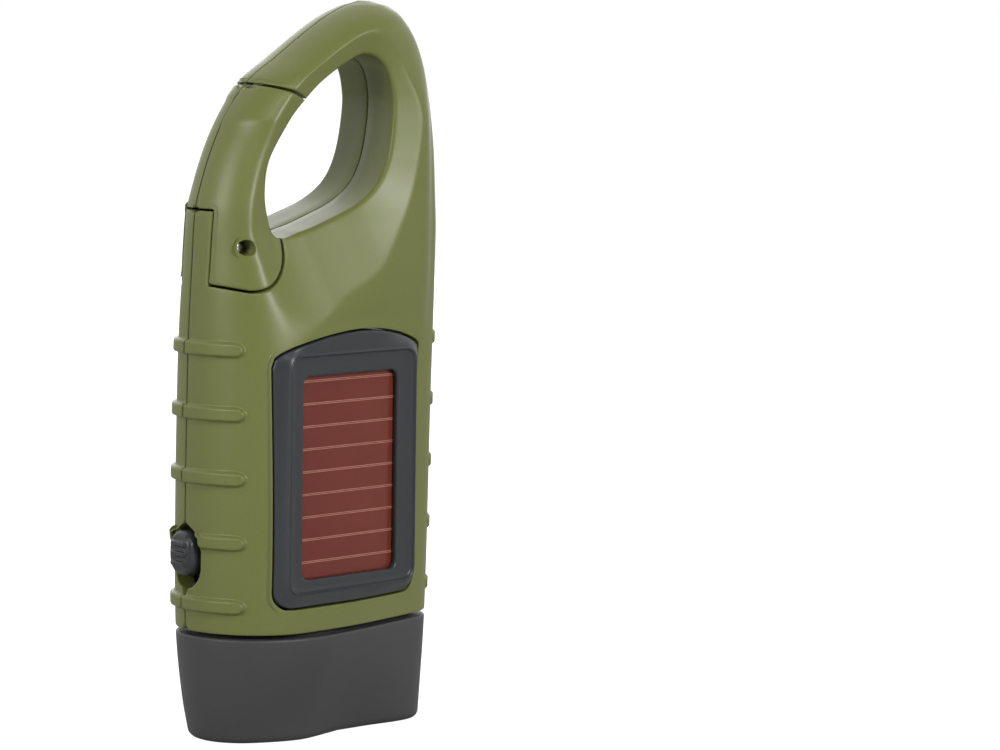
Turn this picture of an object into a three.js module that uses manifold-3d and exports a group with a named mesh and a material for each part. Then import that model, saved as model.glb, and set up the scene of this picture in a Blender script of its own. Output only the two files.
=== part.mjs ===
// Hand crank flashlight, standing on its lens end.
// Millimetres. +Z runs up to the carabiner handle, the solar panel faces -Y,
// the crank is on +Y, and the switch and the gate are on -X.
import * as THREE from 'three';
import { mergeVertices } from 'three/addons/utils/BufferGeometryUtils.js';
import Module from 'manifold-3d';

const wasm = await Module();
wasm.setup();

// Driving dimensions of the whole body
const bodyLength = 140;
const halfWidth = 27.2;
const bellyRadius = 16.2;
const bellyX = -7.5;
const frontNoseRadius = 16.2;
const rearNoseRadius = 11.2;
const spineNoseRadius = 8.2;
const headHeight = 21;
const wall = 2;
const gap = 0.3;
const cutOver = 5;
const sectionBlend = 0.35;

// Shell outline: share of the length, then share of the half width
const switchSideShares = [
  [0, -0.893], [0.057, -0.949], [0.15, -0.996], [0.32, -1.004], [0.5, -0.993], [0.571, -0.982],
  [0.643, -0.963], [0.718, -0.938], [0.75, -0.897], [0.786, -0.835], [0.821, -0.757], [0.857, -0.647],
  [0.892, -0.493], [0.921, -0.279], [0.957, -0.015], [0.979, 0.169], [0.993, 0.331], [1, 0.47],
];
const spineSideShares = [
  [0, 0.956], [0.15, 1], [0.43, 1.029], [0.68, 1.055], [0.736, 1.044], [0.807, 1.022],
  [0.879, 0.967], [0.936, 0.882], [0.971, 0.768], [0.993, 0.621], [1, 0.47],
];
// Radii of the section's three circles: share of the length, then share of each radius
const frontNoseShares = [
  [0, 0.62], [0.15, 1], [0.5, 1], [0.618, 0.86], [0.675, 0.75], [0.718, 0.7],
  [0.75, 0.66], [0.82, 0.6], [0.893, 0.56], [1, 0.5],
];
const rearNoseShares = [
  [0, 0.85], [0.15, 1], [0.5, 1], [0.618, 0.93], [0.675, 0.86], [0.718, 0.82],
  [0.75, 0.78], [0.82, 0.75], [0.893, 0.73], [1, 0.67],
];
const frontBellyShares = [
  [0, 0.741], [0.04, 0.79], [0.15, 1], [0.5, 1], [0.557, 0.98], [0.618, 0.93], [0.675, 0.87],
  [0.718, 0.82], [0.75, 0.78], [0.82, 0.74], [0.893, 0.68], [1, 0.58],
];
const rearBellyShares = [
  [0, 0.741], [0.04, 0.79], [0.15, 1], [0.5, 1], [0.557, 0.926], [0.618, 0.79], [0.675, 0.722],
  [0.718, 0.654], [0.75, 0.605], [0.82, 0.568], [0.893, 0.549], [1, 0.52],
];
const spineNoseShares = [[0, 0.88], [0.15, 0.98], [0.5, 1.01], [0.7, 1.07], [0.893, 1.05], [1, 0.98]];
const levelShares = [
  0, 0.04, 0.09, 0.15, 0.32, 0.5, 0.54, 0.58, 0.62, 0.66, 0.7, 0.74, 0.78, 0.82, 0.86,
  0.9, 0.93, 0.955, 0.975, 0.988, 0.995,
];
const sectionSteps = 28;
const crownShare = 0.9998;

// The head's waist, where both faces draw in towards the lens
const waistX = 6;
const waistSpan = 9;
const waistShare = 0.26;
const waistPower = 1.5;

// Grip ribs
const ribCount = 5;
const ribTopZ = 75;
const ribPitch = 12.06;
const ribHeight = 0.9;
const ribWidth = 3;
const ribCrown = 1.9;
const ribSwitchEndX = -21.2;
const ribSpineEndX = 24.7;

// Gate, its pin and the handle tip
const pinX = -20.5;
const pinZ = 93.9;
const pinRadius = 1.1;
const pinHalfLength = 7.6;
const pinHoleRadius = 1.7;
const knuckleRadius = 7.9;
const pocketGap = 0.5;
const gateReach = 30.6;
const tongueHalfWidth = 4.5;
const tongueRadius = 6.2;
const tongueNeckX = -17.4;
const postTopZ = 100.5;
const postInnerX = -23.9;
const gateHeelZ = 88.5;
const gateFreeAngle = 40;
const gateSplitX = -3;

// Top of the shells' cavity, below the ring hole
const cavityTopZ = 91;

// Ring hole of the handle: points in shares of the half width and of the length
const ringShares = [
  [-0.49, 0.683], [-0.257, 0.6914], [-0.022, 0.707], [0.206, 0.7264], [0.364, 0.7514],
  [0.449, 0.782], [0.504, 0.832], [0.511, 0.875], [0.449, 0.911], [0.294, 0.927], [0.11, 0.9143],
  [-0.213, 0.8714], [-0.397, 0.83], [-0.537, 0.7857], [-0.57, 0.7429], [-0.548, 0.7107],
];
const ringSteps = 40;

// Gate spring, a wire coil round the pin
const springWire = 0.7;
const springRadius = 2.6;
const springPitch = 1.3;
const springTurns = 4;
const springLegLength = 7.6;
const springBayRadius = 4.6;
const springBayHalfWidth = 3.4;
const springTurnSteps = 8;
const uprightLimit = 0.2;

// Switch slot and slider
const slotLowZ = 29.3;
const slotTopZ = 42;
const slotHalfWidth = 4.4;
const slotPoint = 2.6;
const sliderLowEase = 2.4;
const sliderTopEase = 1.6;
const sliderLowZ = slotLowZ + sliderLowEase;
const sliderTopZ = slotTopZ - sliderTopEase;
const sliderHalfWidth = 3.5;
const sliderOuterX = -29.2;
const sliderFootX = -22.4;
const sliderFootHalf = 2;
const sliderRidge = 0.6;
const sliderRidges = 3;
const ridgeShare = 0.8;
const switchInnerX = -18.6;
const switchBodyHalfWidth = 3.2;
const switchBodyLowZ = 30.6;
const switchBodyTopZ = 41.6;

// Solar panel, in a plane turned about Z
const panelAngle = 8.5;
const panelX = -2;
const panelFaceY = -14.6;
const bezelLeft = -17.1;
const bezelRight = 22.4;
const bezelLowZ = 26.9;
const bezelShoulderLeftZ = 71.5;
const bezelShoulderRightZ = 74;
const bezelArchZ = 79;
const bezelCorner = 3.4;
const ridgeLeft = -13.4;
const ridgeRight = 19.6;
const ridgeLowZ = 29.6;
const ridgeTopZ = 74.6;
const windowLeft = -9;
const windowRight = 14.9;
const windowLowZ = 32;
const windowTopZ = 70;
const windowCorner = 1.6;
const cellRecess = 1.5;
const cellThickness = 1.1;
const cellLap = 1.2;
const bezelBevelDepth = 2.6;
const bezelDepth = 4.9;
const bezelCrown = 0.02;
const archSteps = 14;
const archPower = 0.6;

// Crank: hub, arm and knob
const hubX = -7;
const hubZ = 46.7;
const hubDiscRadius = 8.6;
const hubDiscBackY = 13.6;
const hubDiscFaceY = 17;
const hubShaftRadius = 3;
const hubShaftEndY = 3.6;
const recessRadius = 9.3;
const recessFloorY = 13.2;
const bushWall = 1.1;
const bushLowY = 9;
const foldPinY = 20.9;
const foldPinRadius = 1.1;
const barrelRadius = 3.6;
const lugSink = 1;
const plateFootShare = 0.2;
const lugHalfWidth = 2.6;
const forkHalfGap = 2.9;
const armAngle = 28.2;
const armHubWidth = 13.2;
const armTipWidth = 9.6;
const armThickness = 3.4;
const armReach = 45.9;
const forkSlotEnd = 10.4;
const knobTipY = 13.3;
const knobRadius = 4.6;
const knobNeckRadius = 3.6;
const knobNeckLength = 1.6;
const rivetRadius = 1.2;
const rivetHeadRadius = 2.2;
const rivetHeadHeight = 0.8;

// Knob rest, a raised cup on the rear flank
const cupRadius = 7.2;
const cupWall = 1.5;
const cupReachX = 5;
const cupRimY = 12.9;
const cupFloorY = 7.6;
const cupBaseY = 2;

// Gear train: teeth, modules, levels along Y
const coarseModule = 0.8;
const fineModule = 0.6;
const driveTeeth = 32;
const pinionTeeth = 10;
const gearOneTeeth = 30;
const gearTwoTeeth = 28;
const rotorTeeth = 9;
const toothShare = 0.4;
const addendumShare = 0.8;
const dedendumShare = 1.15;
const pressureAngle = 20;
const meshEase = 0.1;
const boreSteps = 16;
const gearOneDirection = 45;
const gearTwoDirection = 111;
const rotorDirection = 25;
const upperLevelLowY = 5.6;
const upperLevelTopY = 8.4;
const finalLevelLowY = 0.3;
const finalLevelTopY = 1.7;
const lowerLevelLowY = 2.4;
const lowerLevelTopY = 4.6;
const axleRadius = 1;
const axleTopY = 9.9;
const shortAxleTopY = 7;
const axleBossRadius = 2.6;
const plateLowY = -1.2;
const plateTopY = -0.1;
const plateRim = 4;
const clipRadius = 4.6;
const clipThickness = 0.8;

// Generator
const generatorRadius = 9;
const generatorWall = 1;
const generatorFrontY = -6.3;
const magnetRadius = 4;
const magnetFrontY = -5;
const magnetBackY = -1.8;
const coilInnerRadius = 4.8;
const coilOuterRadius = 7.6;
const rotorShaftRadius = 0.9;

// Battery, boards and leads
const cellCount = 3;
const buttonRadius = 5.2;
const buttonHeight = 5.4;
const batteryX = -9;
const batteryY = -6.9;
const batteryLowZ = 46.4;
const boardThickness = 1.2;
const mainBoardY = -2.2;
const mainBoardLeft = -18;
const mainBoardRight = 16;
const mainBoardLowZ = 31.5;
const mainBoardTopZ = 45.4;
const leadRadius = 0.6;
const leadSpacing = 4;

// Screws: X, Z and the depth of each head along Y
const screwHeadRadius = 1.9;
const screwHeadHeight = 1.6;
const screwShankRadius = 0.95;
const screwEndY = -5;
const counterboreRadius = 2.2;
const postRadius = 3.3;
const screwSeatY = 4;
const handleScrewX = 11.4;
const handleScrewZ = 134.2;
const shoulderScrewX = -17;
const shoulderScrewZ = 77.6;
const lowerScrewX = -16.4;
const lowerScrewZ = 26.9;
const spineScrewX = 20.4;
const spineScrewZ = 28.4;

// Head: lens, reflector and lamps
const headWall = 1.8;
const lensThickness = 1.6;
const lensLowZ = 1.2;
const lensRimWidth = 1.7;
const reflectorLowZ = 3.3;
const reflectorDrop = 8.6;
const reflectorTopZ = headHeight - reflectorDrop;
const bowlMouthRadius = 5.6;
const bowlThroatRadius = 2.8;
const bowlXs = [-13.2, 0.4, 13.6];
const reflectorSkirt = 0.8;
const ledRadius = 2.3;
const ledBaseZ = 6.2;
const ledBoardDrop = 8.2;
const ledBoardLowZ = headHeight - ledBoardDrop;
const neckRise = 4;
const neckTopZ = headHeight + neckRise;
const neckWall = 1.4;
const neckDepth = 4;
const neckEase = 0.1;
const headSeamGap = 0.4;

const mergeReach = 1e-4;

// Materials
const greenPlastic = new THREE.MeshStandardMaterial({ color: 0x76804c, roughness: 0.5, metalness: 0 });
const blackPlastic = new THREE.MeshStandardMaterial({ color: 0x2d2e31, roughness: 0.35, metalness: 0 });
const greyPlastic = new THREE.MeshStandardMaterial({ color: 0x474849, roughness: 0.5, metalness: 0 });
const steel = new THREE.MeshStandardMaterial({ color: 0xb9bcc0, roughness: 0.25, metalness: 1 });
const cellGlass = new THREE.MeshStandardMaterial({ color: 0x7a3c32, roughness: 0.25, metalness: 0 });
const clearPlastic = new THREE.MeshStandardMaterial({ color: 0xdfe6ea, roughness: 0.1, metalness: 0 });
const chromed = new THREE.MeshStandardMaterial({ color: 0xd8dadc, roughness: 0.08, metalness: 1 });
const boardGreen = new THREE.MeshStandardMaterial({ color: 0x1f5a36, roughness: 0.6, metalness: 0 });
const copper = new THREE.MeshStandardMaterial({ color: 0xb06a3a, roughness: 0.4, metalness: 1 });
const whitePlastic = new THREE.MeshStandardMaterial({ color: 0xe6e4dc, roughness: 0.5, metalness: 0 });
const magnetGrey = new THREE.MeshStandardMaterial({ color: 0x3c3a3a, roughness: 0.5, metalness: 0.4 });

const radians = THREE.MathUtils.degToRad;

// Solids from geometries, and back
function solidOf(geometry) {
  const bare = geometry.clone();
  bare.deleteAttribute('normal');
  bare.deleteAttribute('uv');
  const merged = mergeVertices(bare, mergeReach);
  return new wasm.Manifold(new wasm.Mesh({
    numProp: 3,
    vertProperties: new Float32Array(merged.attributes.position.array),
    triVerts: new Uint32Array(merged.index.array),
  }));
}

function geometryOf(solid) {
  const mesh = solid.getMesh();
  const geometry = new THREE.BufferGeometry();
  const points = new Float32Array(mesh.numVert * 3);
  for (let i = 0; i < mesh.numVert; i += 1) {
    for (let k = 0; k < 3; k += 1) points[3 * i + k] = mesh.vertProperties[mesh.numProp * i + k];
  }
  geometry.setAttribute('position', new THREE.BufferAttribute(points, 3));
  geometry.setIndex(new THREE.BufferAttribute(new Uint32Array(mesh.triVerts), 1));
  return geometry;
}

function union(solids) {
  return solids.reduce((sum, solid) => sum.add(solid));
}

// Smooth interpolation in a table of shares
function tableValue(rows, at) {
  const last = rows.length - 1;
  let i = 0;
  while (i < last - 1 && at > rows[i + 1][0]) i += 1;
  const slope = (j) => {
    const before = Math.max(j - 1, 0);
    const after = Math.min(j + 1, last);
    return (rows[after][1] - rows[before][1]) / (rows[after][0] - rows[before][0]);
  };
  const width = rows[i + 1][0] - rows[i][0];
  const t = (at - rows[i][0]) / width;
  const u = 1 - t;
  return (1 + 2 * t) * u * u * rows[i][1] + t * u * u * width * slope(i)
    + t * t * (3 - 2 * t) * rows[i + 1][1] - t * t * u * width * slope(i + 1);
}

// One horizontal section: the smooth hull of three circles on the parting plane, where the
// first two are fuller on the solar half than on the crank half,
// from its support function h(a) as x = h cos a - h' sin a and y = h sin a + h' cos a
function sectionAt(z, offset) {
  const level = z / bodyLength;
  const left = halfWidth * tableValue(switchSideShares, level);
  const right = halfWidth * tableValue(spineSideShares, level);
  const half = (right - left) / 2;
  const frontRadius = Math.min(half, frontNoseRadius * tableValue(frontNoseShares, level));
  const rearRadius = Math.min(half, rearNoseRadius * tableValue(rearNoseShares, level));
  const frontMiddle = Math.min(half, bellyRadius * tableValue(frontBellyShares, level));
  const rearMiddle = Math.min(half, bellyRadius * tableValue(rearBellyShares, level));
  const spineRadius = Math.min(half, spineNoseRadius * tableValue(spineNoseShares, level));
  const waist = z < headHeight ? waistShare * (1 - z / headHeight) ** waistPower : 0;
  const points = [];
  for (let i = 0; i < sectionSteps; i += 1) {
    const angle = 2 * Math.PI * i / sectionSteps;
    const [noseRadius, middleRadius] = i < sectionSteps / 2
      ? [rearRadius, rearMiddle] : [frontRadius, frontMiddle];
    const middleX = THREE.MathUtils.clamp(bellyX, left + middleRadius, right - middleRadius);
    const circles = [
      [left + noseRadius, noseRadius],
      [middleX, middleRadius],
      [right - spineRadius, spineRadius],
    ];
    const supports = circles.map(([x, r]) => x * Math.cos(angle) + r);
    const top = Math.max(...supports);
    const weights = supports.map((s) => Math.exp((s - top) / sectionBlend));
    const total = weights.reduce((a, b) => a + b);
    const height = top + sectionBlend * Math.log(total) + offset;
    const rate = circles.reduce((sum, [x], k) => sum - x * Math.sin(angle) * weights[k] / total, 0);
    const x = height * Math.cos(angle) - rate * Math.sin(angle);
    const y = height * Math.sin(angle) + rate * Math.cos(angle);
    points.push([x, y * (1 - waist * Math.exp(-(((x - waistX) / waistSpan) ** 2)))]);
  }
  return points;
}

// A solid through rings of equal count, closed by a flat end at each side
function ringSolid(rings) {
  const count = rings[0].length;
  const points = rings.flat();
  const index = [];
  for (let r = 0; r < rings.length - 1; r += 1) {
    for (let i = 0; i < count; i += 1) {
      const a = r * count + i;
      const b = r * count + (i + 1) % count;
      index.push(a, b, b + count, a, b + count, a + count);
    }
  }
  [0, rings.length - 1].forEach((r, side) => {
    const centre = rings[r].reduce((sum, p) => sum.map((v, k) => v + p[k] / count), [0, 0, 0]);
    points.push(centre);
    for (let i = 0; i < count; i += 1) {
      const a = r * count + i;
      const b = r * count + (i + 1) % count;
      index.push(...(side ? [a, b, points.length - 1] : [b, a, points.length - 1]));
    }
  });
  const geometry = new THREE.BufferGeometry();
  geometry.setAttribute('position', new THREE.Float32BufferAttribute(points.flat(), 3));
  geometry.setIndex(index);
  return solidOf(geometry);
}

// The body's surface between two heights, moved out by an offset
function bodySolid(lowZ, topZ, offset) {
  const inner = levelShares.map((share) => share * bodyLength).filter((z) => z > lowZ && z < topZ);
  const levels = [lowZ, ...inner, topZ];
  return ringSolid(levels.map((z) => sectionAt(z, offset).map(([x, y]) => [x, y, z])));
}

// Prisms, boxes and rods
function shapeOf(points) {
  return new THREE.Shape(points.map(([a, b]) => new THREE.Vector2(a, b)));
}

function prismY(points, lowY, topY, holes = []) {
  const shape = shapeOf(points);
  shape.holes = holes.map((hole) => new THREE.Path(hole.map(([a, b]) => new THREE.Vector2(a, b))));
  const geometry = new THREE.ExtrudeGeometry(shape, { depth: topY - lowY, bevelEnabled: false });
  geometry.rotateX(Math.PI / 2);
  geometry.translate(0, topY, 0);
  return solidOf(geometry);
}

function box(lowX, topX, lowY, topY, lowZ, topZ) {
  const geometry = new THREE.BoxGeometry(topX - lowX, topY - lowY, topZ - lowZ);
  geometry.translate((lowX + topX) / 2, (lowY + topY) / 2, (lowZ + topZ) / 2);
  return solidOf(geometry);
}

function rodY(radius, x, z, lowY, topY, steps = 24, topRadius = radius) {
  const geometry = new THREE.CylinderGeometry(topRadius, radius, topY - lowY, steps);
  geometry.translate(x, (lowY + topY) / 2, z);
  return solidOf(geometry);
}

function rodZ(radius, x, y, lowZ, topZ, steps = 24, topRadius = radius) {
  const geometry = new THREE.CylinderGeometry(topRadius, radius, topZ - lowZ, steps);
  geometry.rotateX(Math.PI / 2);
  geometry.translate(x, y, (lowZ + topZ) / 2);
  return solidOf(geometry);
}

function arcPoints(x, z, radius, from, to, steps) {
  const points = [];
  for (let i = 0; i <= steps; i += 1) {
    const angle = radians(from + (to - from) * i / steps);
    points.push([x + radius * Math.cos(angle), z + radius * Math.sin(angle)]);
  }
  return points;
}

// Outline of the ring hole, a closed curve through its marks
function ringOutline() {
  const marks = ringShares.map(([x, z]) => new THREE.Vector3(x * halfWidth, z * bodyLength, 0));
  const curve = new THREE.CatmullRomCurve3(marks, true, 'centripetal');
  return curve.getPoints(ringSteps).slice(0, ringSteps).map((p) => [p.x, p.y]);
}

// Half depth that every through cut reaches
const reachY = 2 * bellyRadius;

// Room that the gate takes out of the body, or the gate's own outline, by its clearance
function gateRegion(clearance) {
  const knuckle = knuckleRadius + clearance;
  const heel = [
    [pinX, pinZ - knuckle],
    [pinX, pinZ + knuckleRadius],
    [-halfWidth - cutOver, pinZ + knuckleRadius],
    [-halfWidth - cutOver, gateHeelZ - clearance],
  ];
  const free = radians(gateFreeAngle);
  const leg = [
    [pinX, pinZ],
    [pinX + knuckleRadius * Math.cos(free), pinZ + knuckleRadius * Math.sin(free)],
    [gateSplitX, pinZ + knuckleRadius],
    [gateSplitX, pinZ + gateReach + cutOver],
    [-halfWidth - cutOver, pinZ + gateReach + cutOver],
    [-halfWidth - cutOver, pinZ],
  ];
  const sweep = rodY(gateReach + clearance, pinX, pinZ, -reachY, reachY, 96);
  const upper = prismY(leg, -reachY, reachY).intersect(sweep);
  const disc = rodY(knuckle, pinX, pinZ, -reachY, reachY, 40);
  return union([disc, prismY(heel, -reachY, reachY), upper]);
}

// The tongue and post that the gate's fork straddles
function tongueRegion(clearance) {
  const half = tongueHalfWidth + clearance;
  const disc = rodY(tongueRadius + clearance, pinX, pinZ, -half, half, 32);
  const low = pinZ - knuckleRadius - cutOver;
  const post = box(-halfWidth - cutOver, postInnerX + clearance, -half, half, low, postTopZ + clearance);
  const neck = box(-halfWidth - cutOver, tongueNeckX + clearance, -half, half, low, pinZ);
  return union([disc, post, neck]);
}

function ribs() {
  const bands = [];
  for (let i = 0; i < ribCount; i += 1) {
    const z = ribTopZ - i * ribPitch;
    const levels = [
      [z - ribWidth / 2, 0],
      [z - ribCrown / 2, ribHeight],
      [z + ribCrown / 2, ribHeight],
      [z + ribWidth / 2, 0],
    ];
    bands.push(ringSolid(levels.map(([at, offset]) => sectionAt(z, offset).map(([x, y]) => [x, y, at]))));
  }
  const low = ribTopZ - ribCount * ribPitch;
  const outer = halfWidth + cutOver;
  const ends = union([
    box(-outer, ribSwitchEndX, -reachY, reachY, low, ribTopZ + ribPitch),
    box(ribSpineEndX, outer, -reachY, reachY, low, ribTopZ + ribPitch),
  ]);
  return union(bands).intersect(ends);
}

const outer = bodySolid(0, bodyLength * crownShare, 0);
const ringCut = prismY(ringOutline(), -reachY, reachY);

// Cavity of the shells: the section inset by the wall, up to below the ring hole
const cavity = bodySolid(headHeight - cutOver, cavityTopZ, -wall);
const neckRoom = bodySolid(headHeight - cutOver, neckTopZ + gap, -wall - neckEase);

// Screws by name, with their place on the rear face
const screws = [
  ['handle_screw', handleScrewX, handleScrewZ],
  ['shoulder_screw', shoulderScrewX, shoulderScrewZ],
  ['lower_screw', lowerScrewX, lowerScrewZ],
  ['spine_screw', spineScrewX, spineScrewZ],
];

function screwHoles(lowY) {
  return union(screws.flatMap(([, x, z]) => [
    rodY(counterboreRadius, x, z, screwSeatY, reachY, 20),
    rodY(screwShankRadius + gap, x, z, lowY, reachY, 12),
  ]));
}

function slotCut() {
  const middle = slotLowZ + slotHalfWidth;
  const outline = [
    ...arcPoints(0, middle, slotHalfWidth, 180, 360, 12),
    [slotHalfWidth, slotTopZ - slotPoint],
    [0, slotTopZ],
    [-slotHalfWidth, slotTopZ - slotPoint],
  ];
  const geometry = new THREE.ExtrudeGeometry(shapeOf(outline), { depth: cutOver * 2, bevelEnabled: false });
  geometry.applyMatrix4(new THREE.Matrix4().makeBasis(
    new THREE.Vector3(0, 1, 0), new THREE.Vector3(0, 0, 1), new THREE.Vector3(1, 0, 0)));
  geometry.translate(-halfWidth - cutOver, 0, 0);
  return solidOf(geometry);
}

// Everything in the panel's plane is drawn in s across, z up and n out of the face
function panelPlaced(solid) {
  return solid.rotate([0, 0, panelAngle]).translate([panelX, panelFaceY, 0]);
}

function bezelOutline(grow) {
  const left = bezelLeft - grow;
  const right = bezelRight + grow;
  const low = bezelLowZ - grow;
  const corner = bezelCorner;
  const arch = [];
  for (let i = 0; i <= archSteps; i += 1) {
    const t = i / archSteps;
    const rise = Math.sin(Math.PI * t) ** archPower;
    const shoulder = bezelShoulderRightZ + (bezelShoulderLeftZ - bezelShoulderRightZ) * t;
    const peak = bezelArchZ - Math.max(bezelShoulderLeftZ, bezelShoulderRightZ);
    arch.push([right + (left - right) * t, shoulder + grow + rise * peak]);
  }
  return [
    ...arcPoints(left + corner, low + corner, corner, 180, 270, 4),
    ...arcPoints(right - corner, low + corner, corner, 270, 360, 4),
    ...arch,
  ];
}

function panelPrism(points, lowDepth, topDepth) {
  return panelPlaced(prismY(points, -topDepth, -lowDepth));
}

function rectangle(left, right, low, top, corner) {
  return [
    ...arcPoints(left + corner, low + corner, corner, 180, 270, 3),
    ...arcPoints(right - corner, low + corner, corner, 270, 360, 3),
    ...arcPoints(right - corner, top - corner, corner, 0, 90, 3),
    ...arcPoints(left + corner, top - corner, corner, 90, 180, 3),
  ];
}

// The bezel's sloped border: each outline point is drawn in to the ridge rectangle
function bezelSlope() {
  const outline = bezelOutline(0);
  const drawn = outline.map(([s, z]) => [
    THREE.MathUtils.clamp(s, ridgeLeft, ridgeRight),
    THREE.MathUtils.clamp(z, ridgeLowZ, ridgeTopZ),
  ]);
  const eased = drawn.map(([s, z], i) => [
    s + bezelCrown * (outline[i][0] - s),
    z + bezelCrown * (outline[i][1] - z),
  ]);
  const rings = [
    outline.map(([s, z]) => [s, bezelDepth, z]),
    outline.map(([s, z]) => [s, bezelBevelDepth, z]),
    eased.map(([s, z]) => [s, 0, z]),
  ];
  return panelPlaced(ringSolid(rings));
}

function bezelSolid() {
  const opening = rectangle(windowLeft, windowRight, windowLowZ, windowTopZ, windowCorner);
  const lap = cellLap + gap;
  const rebate = rectangle(windowLeft - lap, windowRight + lap, windowLowZ - lap, windowTopZ + lap,
    windowCorner);
  return bezelSlope()
    .subtract(panelPrism(opening, -bezelDepth - cutOver, cutOver))
    .subtract(panelPrism(rebate, -bezelDepth - cutOver, -cellRecess));
}

function cellSolid() {
  const plate = rectangle(windowLeft - cellLap, windowRight + cellLap, windowLowZ - cellLap,
    windowTopZ + cellLap, windowCorner);
  const top = -cellRecess - gap;
  return panelPrism(plate, top - cellThickness, top);
}

// Spur gear outline with involute flanks
function gearOutline(teeth, module) {
  const pitchRadius = teeth * module / 2;
  const baseRadius = pitchRadius * Math.cos(radians(pressureAngle));
  const tip = pitchRadius + addendumShare * module;
  const root = pitchRadius - dedendumShare * module;
  const involute = (angle) => Math.tan(angle) - angle;
  const halfAt = (radius) => {
    const reach = Math.max(radius, baseRadius);
    return toothShare * Math.PI / teeth + involute(radians(pressureAngle))
      - involute(Math.acos(baseRadius / reach));
  };
  const radii = [root, tip];
  const points = [];
  for (let i = 0; i < teeth; i += 1) {
    const centre = 2 * Math.PI * i / teeth;
    radii.forEach((r) => points.push([r, centre - halfAt(r)]));
    radii.toReversed().forEach((r) => points.push([r, centre + halfAt(r)]));
  }
  return points;
}

function gearSolid(teeth, module, x, z, lowY, topY, phase, bore) {
  const outline = gearOutline(teeth, module).map(([r, a]) => [
    x + r * Math.cos(a + phase), z + r * Math.sin(a + phase)]);
  const hole = bore > 0 ? [arcPoints(x, z, bore, 0, 360 - 360 / boreSteps, boreSteps - 1)] : [];
  return prismY(outline, lowY, topY, hole);
}

// Centres of the train, and the turn that puts each pair in mesh
function meshCentre(x, z, distance, direction) {
  return [x + distance * Math.cos(radians(direction)), z + distance * Math.sin(radians(direction))];
}

const [oneX, oneZ] = meshCentre(hubX, hubZ,
  (driveTeeth + pinionTeeth) * coarseModule / 2 + meshEase, gearOneDirection);
const [twoX, twoZ] = meshCentre(oneX, oneZ,
  (gearOneTeeth + pinionTeeth) * fineModule / 2 + meshEase, gearTwoDirection);
const [rotorX, rotorZ] = meshCentre(twoX, twoZ,
  (gearTwoTeeth + rotorTeeth) * fineModule / 2 + meshEase, rotorDirection);

// A tooth of the first gear points at its mate, whose gap faces it
const facing = (direction) => radians(direction);
const gapFacing = (direction, teeth) => radians(direction + 180) + Math.PI / teeth;

// A solid drawn upright about the fold pin, leaned over and moved to the hub
function armPlaced(solid) {
  return solid.rotate([0, armAngle, 0]).translate([hubX, 0, hubZ]);
}

const knobX = hubX + armReach * Math.sin(radians(armAngle));
const knobZ = hubZ + armReach * Math.cos(radians(armAngle));

function cupOutline(radius) {
  return [
    ...arcPoints(knobX, knobZ, radius, 90, 270, 10),
    ...arcPoints(knobX + cupReachX, knobZ, radius, 270, 450, 10),
  ];
}

function rearFittings() {
  const bossCore = union([
    rodY(axleBossRadius, oneX, oneZ, upperLevelTopY + gap, reachY, 16),
    rodY(axleBossRadius, twoX, twoZ, lowerLevelTopY + gap, reachY, 16),
  ]);
  const hubTube = rodY(hubShaftRadius + gap * 2 + bushWall + wall, hubX, hubZ, bushLowY, reachY, 20);
  const hubDish = rodY(recessRadius + wall, hubX, hubZ, recessFloorY - wall, reachY, 24);
  const cup = prismY(cupOutline(cupRadius), cupFloorY - wall, reachY);
  return union([bossCore, hubTube, hubDish, cup]);
}

function screwPosts(side) {
  const posts = screws.slice(1).map(([, x, z]) => rodY(postRadius, x, z,
    side > 0 ? gap / 2 : -reachY, side > 0 ? reachY : -gap / 2, 20));
  return union(posts);
}

// Raised rim of the knob rest, which stands out of the flank
function cupRim() {
  return prismY(cupOutline(cupRadius), cupBaseY, cupRimY);
}

function shellBody() {
  const grown = outer.add(ribs()).add(cupRim());
  const room = gateRegion(pocketGap).subtract(tongueRegion(0));
  const above = box(-reachY * 2, reachY * 2, -reachY, reachY, headHeight + headSeamGap / 2, bodyLength * 2);
  return grown.subtract(room).subtract(ringCut).intersect(above);
}

const shellBlank = shellBody();
const frontHalf = box(-reachY * 2, reachY * 2, -reachY * 2, -gap / 2, -cutOver, bodyLength + cutOver);
const rearHalf = box(-reachY * 2, reachY * 2, gap / 2, reachY * 2, -cutOver, bodyLength + cutOver);
const springBay = rodY(springBayRadius, pinX, pinZ, -springBayHalfWidth, springBayHalfWidth, 24);
const pinBore = rodY(pinRadius + gap, pinX, pinZ, -reachY, reachY, 16);

function springSlot(clearance) {
  const half = springWire / 2 + clearance;
  const x = pinX + springRadius;
  return box(x - half, x + half, -springBayHalfWidth, springBayHalfWidth, pinZ,
    pinZ + springLegLength + clearance);
}

function frontShell() {
  return shellBlank.subtract(cavity.subtract(screwPosts(-1)))
    .subtract(neckRoom)
    .intersect(frontHalf)
    .subtract(panelPrism(bezelOutline(gap), -bezelDepth - gap, reachY))
    .subtract(screwHoles(screwEndY - gap))
    .subtract(slotCut())
    .subtract(springBay)
    .subtract(springSlot(gap))
    .subtract(pinBore);
}

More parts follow.
